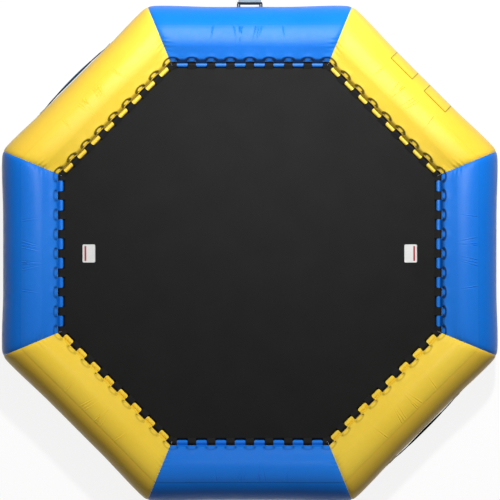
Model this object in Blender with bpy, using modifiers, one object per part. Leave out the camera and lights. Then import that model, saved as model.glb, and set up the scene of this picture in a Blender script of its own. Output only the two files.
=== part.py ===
"""Octagonal water bouncer: an inflated ring of eight mitred tube segments round a flat bounce mat.

The mat is laced to the ring like a piano hinge. Eight straight pipes run through sleeves that
are sewn by turns to the mat and to a hinge strip welded over the crown of each tube segment.
Lengths are in metres and +Z is up. The origin is the centre of the mat's top face.
"""

import math

import bmesh
import bpy
from mathutils import Matrix, Vector

# Inflated ring, measured over the outer flats of the octagon
RING_WIDTH = 4.572
TUBE_DIAMETER = 0.533
TUBE_WALL = 0.0012
SIDE_COUNT = 8
TUBE_FACETS = 32

# Gaps between faces that touch, and between the mitred ends of neighbours
FIT_GAP = 0.0003
MITRE_GAP = 0.0003

# Hinge pipes and the sleeves that turn on them
PIPE_DIAMETER = 0.0422
PIPE_WALL = 0.0036
PIPE_FACETS = 8
PIPE_INSET = 0.0085
PIPE_END_GAP = 0.003
SLEEVE_CLEARANCE = 0.0004
SLEEVE_FACETS = 6

# Hinge strips: counted in tube facets up from the outer equator
STRIP_THICKNESS = 0.0018
STRIP_EDGE_FACET = 6
STRIP_LEAVE_FACET = 11

# Tabs of the strips and of the mat, which take turns along each pipe
TABS_PER_SIDE = 8
CORNER_ROOM = 0.0106
TUBE_TAB_WIDTH = 0.098
TAB_GAP = 0.001
CORNER_TAB_INSET = 0.006
ARCH_REACH = 0.0605
ARCH_RISE = 0.030
ARCH_POINTS = 7

# Bounce mat and its border panel
MAT_THICKNESS = 0.0015
MAT_SLEEVE_THICKNESS = 0.0015
BORDER_WIDTH = 0.3165
BORDER_CLEARANCE = 0.001
TONGUE_INSET = 0.002
SCALLOP_DEPTH = 0.003
CORNER_REACH = 0.003

# Sewn tags on the border
TAG_SETBACK = 0.2315
TAG_WIDTH = 0.117
TAG_LENGTH = 0.167
TAG_THICKNESS = 0.001

# Inflation valve on the outer wall of the upper right segment
VALVE_FACET = -2
VALVE_STEPS = 20
VALVE_HOLE_CLEARANCE = 0.0005
FLANGE_RADIUS = 0.042
FLANGE_THICKNESS = 0.003
NECK_RADIUS = 0.029
NECK_HEIGHT = 0.012
BARREL_RADIUS = 0.026
BARREL_BORE = 0.0235
BARREL_DEPTH = 0.030
SEAT_BORE = 0.018
SEAT_THICKNESS = 0.003
SPIDER_TOP = 0.013
SPIDER_THICKNESS = 0.003
AIR_HOLE_COUNT = 4
AIR_HOLE_RADIUS = 0.005
AIR_HOLE_SIDES = 8
STEM_RADIUS = 0.003
STEM_CLEARANCE = 0.0005
BUTTON_RADIUS = 0.008
BUTTON_TOP = 0.004
BUTTON_THICKNESS = 0.003
POPPET_RADIUS = 0.0215
POPPET_THICKNESS = 0.003
PLUNGER_STEPS = 16
SPRING_RADIUS = 0.0055
SPRING_WIRE = 0.0012
SPRING_TURNS = 4
SPRING_POINTS_PER_TURN = 8
SEAL_WIDTH = 0.004
SEAL_THICKNESS = 0.002
THREAD_CLEARANCE = 0.0004
CAP_WALL = 0.0045
CAP_TOP_THICKNESS = 0.003
CAP_RIM = 0.0025
CAP_LIP_HEIGHT = 0.0012
CAP_GROOVE_HEIGHT = 0.003
LEASH_RING_WIDTH = 0.0055
LEASH_WIDTH = 0.007
LEASH_THICKNESS = 0.0015
LEASH_RUN = 0.005
LEASH_DROP_RUN = 0.002
LEASH_FOOT_LENGTH = 0.0145

# Welded patches and plain webbing
PATCH_THICKNESS = 0.0015
WEB_THICKNESS = 0.002

# Carrying handles on two opposite yellow segments
HANDLE_SPAN = 0.80
HANDLE_SEWN_LENGTH = 0.06
HANDLE_WEB_WIDTH = 0.025
HANDLE_STANDOFF = 0.018
HANDLE_WEB_STEPS = 12
HANDLE_PATCH_LENGTH = 0.13
GRIP_LENGTH = 0.44
GRIP_THICKNESS = 0.014
GRIP_HEIGHT = 0.032
GRIP_STEPS = 6

# Anchor patches with hanging rings, low on three blue segments
ANCHOR_FACET = -3
ANCHOR_PATCH_LENGTH = 0.15
ANCHOR_LOOP_LENGTH = 0.038
ANCHOR_LOOP_THICKNESS = 0.0016
ANCHOR_LOOP_CLEARANCE = 0.0004
RING_HALF_WIDTH = 0.027
RING_BAR = 0.005
RING_THICKNESS = 0.005
RING_LEG = 0.012
RING_ARC_POINTS = 9

# Boarding ladder on the top segment: webbing and three foam covered steps
LADDER_FACET = -1
LADDER_PATCH_LENGTH = 0.30
LADDER_STRAP_SPACING = 0.207
LADDER_STRAP_WIDTH = 0.031
FIRST_STRAP_LENGTH = 0.058
FIRST_STRAP_LEAN = math.radians(35.0)
LOWER_STRAP_LENGTH = 0.18
STEP_COUNT = 3
STEP_WIDTH = 0.236
STEP_DEPTH = 0.09
STEP_THICKNESS = 0.026
STEP_EDGE_RADIUS = 0.004

# Overrun of the cutters past what they cut
CUTTER_OVERRUN = 0.010
# Points closer than this are one point
MERGE_DISTANCE = 0.000002

# Shared angles and places that follow from the sizes above
HALF_SIDE_ANGLE = math.pi / SIDE_COUNT
MITRE_SLOPE = math.tan(HALF_SIDE_ANGLE)
FACET_STEP = 2 * math.pi / TUBE_FACETS
SLEEVE_STEP = 2 * math.pi / SLEEVE_FACETS
TUBE_RADIUS = TUBE_DIAMETER / 2
TUBE_APOTHEM = RING_WIDTH / 2 - TUBE_RADIUS
PIPE_RADIUS = PIPE_DIAMETER / 2
PIPE_APOTHEM = TUBE_APOTHEM - TUBE_RADIUS - PIPE_INSET
SLEEVE_INRADIUS = PIPE_RADIUS + SLEEVE_CLEARANCE
LEAVE_ANGLE = STRIP_LEAVE_FACET * FACET_STEP

# The pipe hangs where the strip, leaving the tube along a facet, lies on its sleeve
PIPE_RISE = (
    TUBE_RADIUS
    + FIT_GAP
    - SLEEVE_INRADIUS
    - (PIPE_APOTHEM - TUBE_APOTHEM) * math.cos(LEAVE_ANGLE)
) / math.sin(LEAVE_ANGLE)
PIPE_Z = -MAT_THICKNESS / 2
TUBE_Z = PIPE_Z - PIPE_RISE
FLOOR_Z = TUBE_Z - TUBE_RADIUS

PIPE_CENTRE = (PIPE_APOTHEM, PIPE_Z)
TUBE_CENTRE = (TUBE_APOTHEM, TUBE_Z)
PIPE_HALF_LENGTH = (PIPE_APOTHEM - PIPE_RADIUS) * MITRE_SLOPE - PIPE_END_GAP
TAB_PITCH = 2 * (PIPE_APOTHEM * MITRE_SLOPE - CORNER_ROOM) / TABS_PER_SIDE
SLOT_WIDTH = TAB_PITCH - TUBE_TAB_WIDTH
MAT_TAB_WIDTH = SLOT_WIDTH - 2 * TAB_GAP
SLEEVE_CORNER_RADIUS = (SLEEVE_INRADIUS + STRIP_THICKNESS) / math.cos(SLEEVE_STEP / 2)
BORDER_EDGE = PIPE_APOTHEM - SLEEVE_CORNER_RADIUS - BORDER_CLEARANCE
PANEL_APOTHEM = BORDER_EDGE - BORDER_WIDTH

# Each side's name, the direction it faces and the colour of its tube
SIDES = (
    ("right", 0, "blue"),
    ("upper_right", 1, "yellow"),
    ("top", 2, "blue"),
    ("upper_left", 3, "yellow"),
    ("left", 4, "blue"),
    ("lower_left", 5, "yellow"),
    ("bottom", 6, "blue"),
    ("lower_right", 7, "yellow"),
)
SIDE_ANGLES = {name: turn * 2 * HALF_SIDE_ANGLE for name, turn, colour in SIDES}

# Colour, roughness and metallic value of each material
FINISHES = {
    "blue": ((0.013, 0.150, 0.680, 1.0), 0.34, 0.0),
    "yellow": ((0.930, 0.630, 0.030, 1.0), 0.34, 0.0),
    "mat": ((0.022, 0.022, 0.022, 1.0), 0.80, 0.0),
    "pipe": ((0.030, 0.030, 0.032, 1.0), 0.45, 0.0),
    "webbing": ((0.012, 0.012, 0.014, 1.0), 0.75, 0.0),
    "patch": ((0.016, 0.016, 0.018, 1.0), 0.50, 0.0),
    "tag": ((0.860, 0.860, 0.850, 1.0), 0.55, 0.0),
    "valve": ((0.020, 0.020, 0.022, 1.0), 0.40, 0.0),
    "seal": ((0.030, 0.030, 0.030, 1.0), 0.60, 0.0),
    "steel": ((0.620, 0.620, 0.630, 1.0), 0.28, 1.0),
    "grip": ((0.020, 0.060, 0.140, 1.0), 0.65, 0.0),
    "step": ((0.300, 0.360, 0.430, 1.0), 0.70, 0.0),
}


def clear_scene():
    for item in list(bpy.data.objects):
        bpy.data.objects.remove(item, do_unlink=True)


def new_collection(name):
    made = bpy.data.collections.new(name)
    bpy.context.scene.collection.children.link(made)
    return made


def make_material(name):
    colour, roughness, metallic = FINISHES[name]
    made = bpy.data.materials.new(name)
    made.use_nodes = True
    made.diffuse_color = colour
    shader = made.node_tree.nodes["Principled BSDF"]
    shader.inputs["Base Color"].default_value = colour
    shader.inputs["Roughness"].default_value = roughness
    shader.inputs["Metallic"].default_value = metallic
    return made


# Frames: each side is drawn once and set round the ring by its own frame


def outward(angle):
    return Vector((math.cos(angle), math.sin(angle), 0.0))


def frame(x_axis, y_axis, z_axis, origin):
    turned = Matrix((x_axis, y_axis, z_axis)).transposed().to_4x4()
    turned.translation = origin
    return turned


def section_frame(angle, along=0.0):
    """Local x points outward, y up and z along the side."""
    out = outward(angle)
    up = Vector((0, 0, 1))
    side = out.cross(up)
    return frame(out, up, side, side * along)


def plan_frame(angle, height=0.0):
    """Local x points outward, y along the side and z up."""
    out = outward(angle)
    up = Vector((0, 0, 1))
    return frame(out, up.cross(out), up, up * height)


def front_frame(angle, out_distance, height):
    """Local x runs along the side, y up and z points outward."""
    out = outward(angle)
    up = Vector((0, 0, 1))
    return frame(up.cross(out), up, out, out * out_distance + up * height)


def facet_frame(angle, facet):
    """Local z is the outward normal of a tube facet and x runs along the side."""
    out = outward(angle)
    up = Vector((0, 0, 1))
    normal = out * math.cos(facet * FACET_STEP) + up * math.sin(facet * FACET_STEP)
    side = up.cross(out)
    centre = out * TUBE_APOTHEM + up * TUBE_Z + normal * TUBE_RADIUS
    return frame(side, normal.cross(side), normal, centre)


# Outlines in a side's section: u outward, w up


def regular_outline(centre, inradius, count, first_normal):
    """Regular polygon with a flat facing first_normal."""
    step = 2 * math.pi / count
    radius = inradius / math.cos(step / 2)
    angles = [first_normal + (k + 0.5) * step for k in range(count)]
    return [polar(centre, radius, angle) for angle in angles]


def polar(centre, radius, angle):
    return (centre[0] + radius * math.cos(angle), centre[1] + radius * math.sin(angle))


def tube_arc(distance, first_facet, last_facet):
    """Corners of the run of facets that lies this far outside the tube's wall."""
    radius = (TUBE_RADIUS + distance) / math.cos(FACET_STEP / 2)
    corners = range(first_facet - 1, last_facet + 1)
    return [polar(TUBE_CENTRE, radius, (k + 0.5) * FACET_STEP) for k in corners]


def meeting_point(centre, normal_a, distance_a, normal_b, distance_b):
    """Where two lines meet, each given by its normal's angle and distance from the centre."""
    lines = Matrix(
        (
            (math.cos(normal_a), math.sin(normal_a)),
            (math.cos(normal_b), math.sin(normal_b)),
        )
    )
    offset = lines.inverted() @ Vector((distance_a, distance_b))
    return (centre[0] + offset[0], centre[1] + offset[1])


# Meshes


def evaluated_mesh(item):
    """Mesh of an object with its modifiers or curve settings worked in, welded and outward."""
    bpy.context.view_layer.update()
    graph = bpy.context.evaluated_depsgraph_get()
    made = bpy.data.meshes.new_from_object(item.evaluated_get(graph), depsgraph=graph)
    weld(made)
    return made


def weld(mesh):
    shape = bmesh.new()
    shape.from_mesh(mesh)
    bmesh.ops.remove_doubles(shape, verts=shape.verts, dist=MERGE_DISTANCE)
    bmesh.ops.recalc_face_normals(shape, faces=shape.faces)
    shape.to_mesh(mesh)
    shape.free()


def add_object(name, data, collection, matrix=None):
    item = bpy.data.objects.new(name, data)
    collection.objects.link(item)
    if matrix is not None:
        item.matrix_world = matrix
    return item


def baked(item):
    made = evaluated_mesh(item)
    bpy.data.objects.remove(item, do_unlink=True)
    return made


def prism(name, outlines, half_depth):
    """Flat outlines, the first solid and the rest holes, thickened along local z."""
    curve = bpy.data.curves.new(name, "CURVE")
    curve.dimensions = "2D"
    curve.fill_mode = "BOTH"
    curve.extrude = half_depth
    for outline in outlines:
        spline = curve.splines.new("POLY")
        spline.points.add(len(outline) - 1)
        for point, place in zip(spline.points, outline):
            point.co = (place[0], place[1], 0.0, 1.0)
        spline.use_cyclic_u = True
    return baked(add_object(name, curve, workbench))


def wire(name, places, radius, rings):
    """Round rod along a run of places, with closed ends."""
    curve = bpy.data.curves.new(name, "CURVE")
    curve.dimensions = "3D"
    curve.bevel_depth = radius
    curve.bevel_resolution = rings
    curve.use_fill_caps = True
    spline = curve.splines.new("POLY")
    spline.points.add(len(places) - 1)
    for point, place in zip(spline.points, places):
        point.co = (place[0], place[1], place[2], 1.0)
    return baked(add_object(name, curve, workbench))


def turned(name, profile, steps):
    """Profile of (radius, height) swept round local z. It is closed, or starts and ends there."""
    on_axis = profile[0][0] == 0.0
    count = len(profile)
    edges = [(k, (k + 1) % count) for k in range(count - 1 if on_axis else count)]
    mesh = bpy.data.meshes.new(name)
    mesh.from_pydata([(radius, 0.0, height) for radius, height in profile], edges, [])
    item = add_object(name, mesh, workbench)
    screw = item.modifiers.new("turn", "SCREW")
    screw.steps = steps
    screw.render_steps = steps
    screw.use_merge_vertices = True
    screw.merge_threshold = MERGE_DISTANCE
    return baked(item)


def box(name, width, length, height):
    bpy.ops.mesh.primitive_cube_add(size=1.0)
    item = bpy.context.object
    item.data.transform(Matrix.Diagonal((width, length, height, 1.0)))
    mesh = item.data
    mesh.name = name
    bpy.data.objects.remove(item, do_unlink=True)
    return mesh


def mitred(mesh):
    """Moves both ends of a side's prism to the planes where it meets its neighbours."""
    for vertex in mesh.vertices:
        reach = vertex.co.x * MITRE_SLOPE - MITRE_GAP / 2
        vertex.co.z = math.copysign(reach, vertex.co.z)
    return mesh


def joined(name, pieces):
    """One mesh that holds (mesh, matrix) pieces as separate bodies."""
    shape = bmesh.new()
    for mesh, matrix in pieces:
        placed = mesh.copy()
        placed.transform(matrix)
        shape.from_mesh(placed)
        bpy.data.meshes.remove(placed)
    made = bpy.data.meshes.new(name)
    shape.to_mesh(made)
    shape.free()
    return made


def combined(name, mesh, tool_mesh, operation):
    """Mesh cut by, or united with, a second one that stays with the cutters."""
    tool = add_object(name + "_tool", tool_mesh, cutters)
    tool.hide_render = True
    tool.display_type = "WIRE"
    item = add_object(name, mesh, workbench)
    boolean = item.modifiers.new("combine", "BOOLEAN")
    boolean.operation = operation
    boolean.solver = "EXACT"
    boolean.object = tool
    return baked(item)


def part(name, mesh, finish, matrix, smooth=False):
    """Named piece of the bouncer, with its own material slot."""
    item = add_object(name, mesh, bouncer, matrix)
    if not mesh.materials:
        mesh.materials.append(materials[finish])
    item.material_slots[0].link = "OBJECT"
    item.material_slots[0].material = materials[finish]
    if smooth:
        mesh.shade_smooth()
        mesh.set_sharp_from_angle(angle=SMOOTH_LIMIT)
    return item


def pivot(name, matrix, children):
    """Empty on a fold line, which carries the pieces that turn about it."""
    empty = add_object(name, None, bouncer, matrix)
    bpy.context.view_layer.update()
    for child in children:
        placed = child.matrix_world.copy()
        child.parent = empty
        child.matrix_parent_inverse = matrix.inverted()
        child.matrix_world = placed
    return empty


# Ring


def valve_hole():
    depth = BARREL_DEPTH + CUTTER_OVERRUN
    outline = regular_outline((0, 0), BARREL_RADIUS + VALVE_HOLE_CLEARANCE, VALVE_STEPS, 0.0)
    hole = prism("valve_hole", [outline], depth)
    frame_of_hole = facet_frame(SIDE_ANGLES["upper_right"], VALVE_FACET)
    hole.transform(section_frame(SIDE_ANGLES["upper_right"]).inverted() @ frame_of_hole)
    return hole


def build_tubes():
    outer = regular_outline(TUBE_CENTRE, TUBE_RADIUS, TUBE_FACETS, 0.0)
    inner = regular_outline(TUBE_CENTRE, TUBE_RADIUS - TUBE_WALL, TUBE_FACETS, 0.0)
    plain = mitred(prism("tube_segment", [outer, inner], TUBE_APOTHEM))
    holed = combined("tube_with_valve_hole", plain.copy(), valve_hole(), "DIFFERENCE")
    for name, turn, colour in SIDES:
        mesh = holed if name == "upper_right" else plain
        part("tube_" + name, mesh, colour, section_frame(SIDE_ANGLES[name]), smooth=True)


def strip_outline():
    """The strip lies on the tube's crown, leaves it along a facet and wraps round the pipe."""
    outer = SLEEVE_INRADIUS + STRIP_THICKNESS
    top = tube_arc(FIT_GAP + STRIP_THICKNESS, STRIP_EDGE_FACET + 1, STRIP_LEAVE_FACET - 1)
    wrap = regular_outline(PIPE_CENTRE, outer, SLEEVE_FACETS, LEAVE_ANGLE)[:-1]
    closing = meeting_point(
        PIPE_CENTRE, LEAVE_ANGLE - SLEEVE_STEP, outer, LEAVE_ANGLE, SLEEVE_INRADIUS
    )
    underside = tube_arc(FIT_GAP, STRIP_EDGE_FACET + 1, STRIP_LEAVE_FACET - 1)
    return top + wrap + [closing] + underside[::-1]


def arch_slot():
    """Plan of the opening that lets a mat tab reach the pipe, with an arched outer end."""
    half = SLOT_WIDTH / 2
    crown = PIPE_APOTHEM + ARCH_REACH
    spring_line = crown - ARCH_RISE
    inner = BORDER_EDGE - CUTTER_OVERRUN
    turns = [math.pi * k / (ARCH_POINTS - 1) for k in range(ARCH_POINTS)]
    arch = [(spring_line + ARCH_RISE * math.sin(a), half * math.cos(a)) for a in turns]
    return [(inner, -half), (inner, half)] + arch


def build_hinge_strips():
    sleeve_hole = regular_outline(PIPE_CENTRE, SLEEVE_INRADIUS, SLEEVE_FACETS, LEAVE_ANGLE)
    whole = mitred(prism("hinge_strip", [strip_outline(), sleeve_hole], TUBE_APOTHEM))
    slot = prism("arch_slot", [arch_slot()], TUBE_RADIUS)
    slots = []
    for k in range(TABS_PER_SIDE + 1):
        along = (k - TABS_PER_SIDE / 2) * TAB_PITCH
        slots.append((slot, Matrix.Translation((0, along, TUBE_Z + TUBE_RADIUS))))
    cutter = joined("arch_slots", slots)
    cutter.transform(section_frame(0.0).inverted() @ plan_frame(0.0))
    cut = combined("hinge_strip_cut", whole, cutter, "DIFFERENCE")
    for name, turn, colour in SIDES:
        part("hinge_strip_" + name, cut, colour, section_frame(SIDE_ANGLES[name]))


def build_pipes():
    outer = regular_outline(PIPE_CENTRE, PIPE_RADIUS * math.cos(math.pi / PIPE_FACETS),
                            PIPE_FACETS, LEAVE_ANGLE)
    bore = (PIPE_RADIUS - PIPE_WALL) * math.cos(math.pi / PIPE_FACETS)
    inner = regular_outline(PIPE_CENTRE, bore, PIPE_FACETS, LEAVE_ANGLE)
    mesh = prism("hinge_pipe", [outer, inner], PIPE_HALF_LENGTH)
    for name, turn, colour in SIDES:
        matrix = section_frame(SIDE_ANGLES[name])
        part("hinge_pipe_" + name, mesh, "pipe", matrix, smooth=True)


# Mat


def mat_tabs():
    """Centre along the side and width of every mat tab, from one corner to the other."""
    tabs = [((k - TABS_PER_SIDE / 2) * TAB_PITCH, MAT_TAB_WIDTH) for k in range(1, TABS_PER_SIDE)]
    inner_end = (TABS_PER_SIDE - 1) / 2 * TAB_PITCH + TUBE_TAB_WIDTH / 2 + TAB_GAP
    outer_end = PIPE_HALF_LENGTH - CORNER_TAB_INSET
    corner = ((inner_end + outer_end) / 2, outer_end - inner_end)
    return [(-corner[0], corner[1])] + tabs + [corner]


def border_outline():
    """Edge of the border panel: a tongue into each sleeve and a scallop between tongues."""
    tip = PIPE_APOTHEM - SLEEVE_INRADIUS - MAT_SLEEVE_THICKNESS / 2
    scallop = BORDER_EDGE - SCALLOP_DEPTH
    corner = BORDER_EDGE + CORNER_REACH
    tabs = mat_tabs()
    outline = []
    for name, turn, colour in SIDES:
        points = []
        for k, (centre, width) in enumerate(tabs):
            half = width / 2 - TONGUE_INSET
            points += [(BORDER_EDGE, centre - half), (tip, centre - half)]
            points += [(tip, centre + half), (BORDER_EDGE, centre + half)]
            if k < TABS_PER_SIDE:
                points.append((scallop, (k - (TABS_PER_SIDE - 1) / 2) * TAB_PITCH))
        points.append((corner, corner * MITRE_SLOPE))
        matrix = plan_frame(SIDE_ANGLES[name])
        outline += [(matrix @ Vector((u, s, 0.0))).to_2d() for u, s in points]
    return outline


def build_mat():
    hole = regular_outline((0, 0), PANEL_APOTHEM, SIDE_COUNT, 0.0)
    sheet = prism("mat_border", [border_outline(), hole], MAT_THICKNESS / 2)
    sheet.transform(Matrix.Translation((0, 0, PIPE_Z)))
    outer = SLEEVE_INRADIUS + MAT_SLEEVE_THICKNESS
    wrap = regular_outline(PIPE_CENTRE, outer, SLEEVE_FACETS, 0.0)
    bore = regular_outline(PIPE_CENTRE, SLEEVE_INRADIUS, SLEEVE_FACETS, 0.0)
    sleeves = []
    for centre, width in mat_tabs():
        sleeve = prism("mat_sleeve", [wrap, bore], width / 2)
        for name, turn, colour in SIDES:
            sleeves.append((sleeve, section_frame(SIDE_ANGLES[name], centre)))
    border = combined("mat_border", sheet, joined("mat_sleeves", sleeves), "UNION")
    part("mat_border", border, "mat", Matrix.Identity(4))

    reach = (PANEL_APOTHEM - FIT_GAP) / math.cos(HALF_SIDE_ANGLE)
    bpy.ops.mesh.primitive_cylinder_add(vertices=SIDE_COUNT, radius=reach, depth=MAT_THICKNESS)
    panel = bpy.context.object
    mesh = panel.data
    bpy.data.objects.remove(panel, do_unlink=True)
    mesh.transform(Matrix.Translation((0, 0, PIPE_Z)) @ Matrix.Rotation(HALF_SIDE_ANGLE, 4, "Z"))
    part("bounce_mat", mesh, "mat", Matrix.Identity(4))

    tag = box("tag", TAG_WIDTH, TAG_LENGTH, TAG_THICKNESS)
    for name, direction in (("tag_left", -1), ("tag_right", 1)):
        place = (direction * (BORDER_EDGE - TAG_SETBACK), 0.0, FIT_GAP + TAG_THICKNESS / 2)
        part(name, tag, "tag", Matrix.Translation(place))


# Valve: local z points out of the tube from its outer face


CAP_SKIRT_BORE = NECK_RADIUS + THREAD_CLEARANCE
CAP_SKIRT_RADIUS = CAP_SKIRT_BORE + CAP_WALL
CAP_BOTTOM = FLANGE_THICKNESS + FIT_GAP
CAP_LIP_TOP = CAP_BOTTOM + CAP_LIP_HEIGHT
CAP_RIM_BOTTOM = CAP_LIP_TOP + CAP_GROOVE_HEIGHT
CAP_CEILING = NECK_HEIGHT + SEAL_THICKNESS + 2 * FIT_GAP
CAP_TOP = CAP_CEILING + CAP_TOP_THICKNESS
LEASH_RING_RADIUS = CAP_SKIRT_RADIUS / math.cos(math.pi / VALVE_STEPS) + FIT_GAP


def build_valve():
    frame_of_valve = facet_frame(SIDE_ANGLES["upper_right"], VALVE_FACET)
    stem_bore = STEM_RADIUS + STEM_CLEARANCE
    base = turned(
        "valve_base",
        [
            (NECK_RADIUS, NECK_HEIGHT),
            (NECK_RADIUS, FLANGE_THICKNESS),
            (FLANGE_RADIUS, FLANGE_THICKNESS),
            (FLANGE_RADIUS, FIT_GAP),
            (BARREL_RADIUS, FIT_GAP),
            (BARREL_RADIUS, -BARREL_DEPTH),
            (SEAT_BORE, -BARREL_DEPTH),
            (SEAT_BORE, SEAT_THICKNESS - BARREL_DEPTH),
            (BARREL_BORE, SEAT_THICKNESS - BARREL_DEPTH),
            (BARREL_BORE, -SPIDER_TOP - SPIDER_THICKNESS),
            (stem_bore, -SPIDER_TOP - SPIDER_THICKNESS),
            (stem_bore, -SPIDER_TOP),
            (BARREL_BORE, -SPIDER_TOP),
            (BARREL_BORE, NECK_HEIGHT),
        ],
        VALVE_STEPS,
    )
    air_hole = prism(
        "air_hole",
        [regular_outline((0, 0), AIR_HOLE_RADIUS, AIR_HOLE_SIDES, 0.0)],
        SPIDER_THICKNESS,
    )
    web_middle = (stem_bore + BARREL_BORE) / 2
    spider_middle = -SPIDER_TOP - SPIDER_THICKNESS / 2
    holes = []
    for k in range(AIR_HOLE_COUNT):
        turn = Matrix.Rotation(2 * math.pi * k / AIR_HOLE_COUNT, 4, "Z")
        holes.append((air_hole, turn @ Matrix.Translation((web_middle, 0, spider_middle))))
    base = combined("valve_base", base, joined("air_holes", holes), "DIFFERENCE")
    part("valve_base", base, "valve", frame_of_valve, smooth=True)

    poppet_top = -BARREL_DEPTH - FIT_GAP
    plunger = turned(
        "valve_plunger",
        [
            (0.0, BUTTON_TOP),
            (BUTTON_RADIUS, BUTTON_TOP),
            (BUTTON_RADIUS, BUTTON_TOP - BUTTON_THICKNESS),
            (STEM_RADIUS, BUTTON_TOP - BUTTON_THICKNESS),
            (STEM_RADIUS, poppet_top),
            (POPPET_RADIUS, poppet_top),
            (POPPET_RADIUS, poppet_top - POPPET_THICKNESS),
            (0.0, poppet_top - POPPET_THICKNESS),
        ],
        PLUNGER_STEPS,
    )
    part("valve_plunger", plunger, "valve", frame_of_valve, smooth=True)

    low = -SPIDER_TOP + FIT_GAP + SPRING_WIRE / 2
    high = BUTTON_TOP - BUTTON_THICKNESS - FIT_GAP - SPRING_WIRE / 2
    count = SPRING_TURNS * SPRING_POINTS_PER_TURN
    coil = []
    for k in range(count + 1):
        share = k / count
        place = polar((0, 0), SPRING_RADIUS, 2 * math.pi * SPRING_TURNS * share)
        coil.append((place[0], place[1], low + (high - low) * share))
    spring = wire("valve_spring", coil, SPRING_WIRE / 2, 1)
    part("valve_spring", spring, "steel", frame_of_valve, smooth=True)

    cap = turned(
        "valve_cap",
        [
            (0.0, CAP_TOP),
            (CAP_SKIRT_RADIUS, CAP_TOP),
            (CAP_SKIRT_RADIUS + CAP_RIM, CAP_TOP - CAP_RIM),
            (CAP_SKIRT_RADIUS + CAP_RIM, CAP_RIM_BOTTOM),
            (CAP_SKIRT_RADIUS, CAP_RIM_BOTTOM),
            (CAP_SKIRT_RADIUS, CAP_LIP_TOP),
            (CAP_SKIRT_RADIUS + CAP_RIM, CAP_LIP_TOP),
            (CAP_SKIRT_RADIUS + CAP_RIM, CAP_BOTTOM),
            (CAP_SKIRT_BORE, CAP_BOTTOM),
            (CAP_SKIRT_BORE, CAP_CEILING),
            (0.0, CAP_CEILING),
        ],
        VALVE_STEPS,
    )
    part("valve_cap", cap, "valve", frame_of_valve, smooth=True)

    seal_bottom = NECK_HEIGHT + FIT_GAP
    seal_outer = CAP_SKIRT_BORE - FIT_GAP
    seal = turned(
        "cap_seal",
        [
            (seal_outer, seal_bottom + SEAL_THICKNESS),
            (seal_outer, seal_bottom),
            (seal_outer - SEAL_WIDTH, seal_bottom),
            (seal_outer - SEAL_WIDTH, seal_bottom + SEAL_THICKNESS),
        ],
        VALVE_STEPS,
    )
    part("cap_seal", seal, "seal", frame_of_valve, smooth=True)

    ring_bottom = CAP_LIP_TOP + FIT_GAP
    ring_top = CAP_RIM_BOTTOM - FIT_GAP
    leash_reach = LEASH_RING_RADIUS + LEASH_RING_WIDTH
    ring = turned(
        "leash_ring",
        [
            (leash_reach, ring_top),
            (leash_reach, ring_bottom),
            (LEASH_RING_RADIUS, ring_bottom),
            (LEASH_RING_RADIUS, ring_top),
        ],
        VALVE_STEPS,
    )
    part("leash_ring", ring, "seal", frame_of_valve, smooth=True)

    start = leash_reach + FIT_GAP
    bend = start + LEASH_RUN
    foot = bend + LEASH_DROP_RUN
    end = foot + LEASH_FOOT_LENGTH
    upper = ring_bottom + LEASH_THICKNESS
    lower = FIT_GAP + LEASH_THICKNESS
    leash = prism(
        "cap_leash",
        [
            [
                (start, ring_bottom),
                (bend, ring_bottom),
                (foot, FIT_GAP),
                (end, FIT_GAP),
                (end, lower),
                (foot + LEASH_THICKNESS, lower),
                (bend + LEASH_THICKNESS, upper),
                (start, upper),
            ]
        ],
        LEASH_WIDTH / 2,
    )
    leash.transform(Matrix.Rotation(math.pi / 2, 4, "X"))
    part("cap_leash", leash, "seal", frame_of_valve)


# Patches, handles and anchors


def patch_mesh(name, first_facet, last_facet, length):
    """Sheet that lies on a run of tube facets."""
    outer = tube_arc(FIT_GAP + PATCH_THICKNESS, first_facet, last_facet)
    inner = tube_arc(FIT_GAP, first_facet, last_facet)
    return prism(name, [outer + inner[::-1]], length / 2)


WEB_OFFSET = TUBE_RADIUS + 2 * FIT_GAP + PATCH_THICKNESS + WEB_THICKNESS / 2


def handle_line(along):
    """Distance from the ring's centre to the handle's webbing, at a place along the side."""
    share = min(abs(along) / (HANDLE_SPAN / 2), 1.0)
    return TUBE_APOTHEM + WEB_OFFSET + HANDLE_STANDOFF * (1 - share * share)


def stops_along(span, count):
    return [span * (k / count - 0.5) for k in range(count + 1)]


def handle_band(stops, half_thickness):
    """Strip of even thickness that follows the handle's line through these stops."""
    inner = [(handle_line(s) - half_thickness, s) for s in stops]
    outer = [(handle_line(s) + half_thickness, s) for s in reversed(stops)]
    return inner + outer


def build_handles():
    half_length = HANDLE_SPAN / 2 + HANDLE_SEWN_LENGTH
    patch = patch_mesh("handle_patch", -1, 1, HANDLE_PATCH_LENGTH)
    stops = [-half_length] + stops_along(HANDLE_SPAN, HANDLE_WEB_STEPS) + [half_length]
    half_web = WEB_THICKNESS / 2
    half_width = HANDLE_WEB_WIDTH / 2
    web = prism("handle_web", [handle_band(stops, half_web)], half_width)
    slot = prism("grip_slot", [handle_band(stops, half_web + FIT_GAP)], half_width + FIT_GAP)
    grip_band = handle_band(stops_along(GRIP_LENGTH, GRIP_STEPS), GRIP_THICKNESS / 2)
    foam = prism("handle_grip", [grip_band], GRIP_HEIGHT / 2)
    grip = combined("handle_grip", foam, slot, "DIFFERENCE")
    patch_place = HANDLE_SPAN / 2 + HANDLE_SEWN_LENGTH / 2
    for side, finish in (("upper_left", "grip"), ("lower_right", "webbing")):
        angle = SIDE_ANGLES[side]
        for end, along in (("a", -patch_place), ("b", patch_place)):
            name = "handle_patch_" + side + "_" + end
            part(name, patch, "patch", section_frame(angle, along))
        part("handle_web_" + side, web, "webbing", plan_frame(angle, TUBE_Z))
        part("handle_grip_" + side, grip, finish, plan_frame(angle, TUBE_Z))


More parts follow.
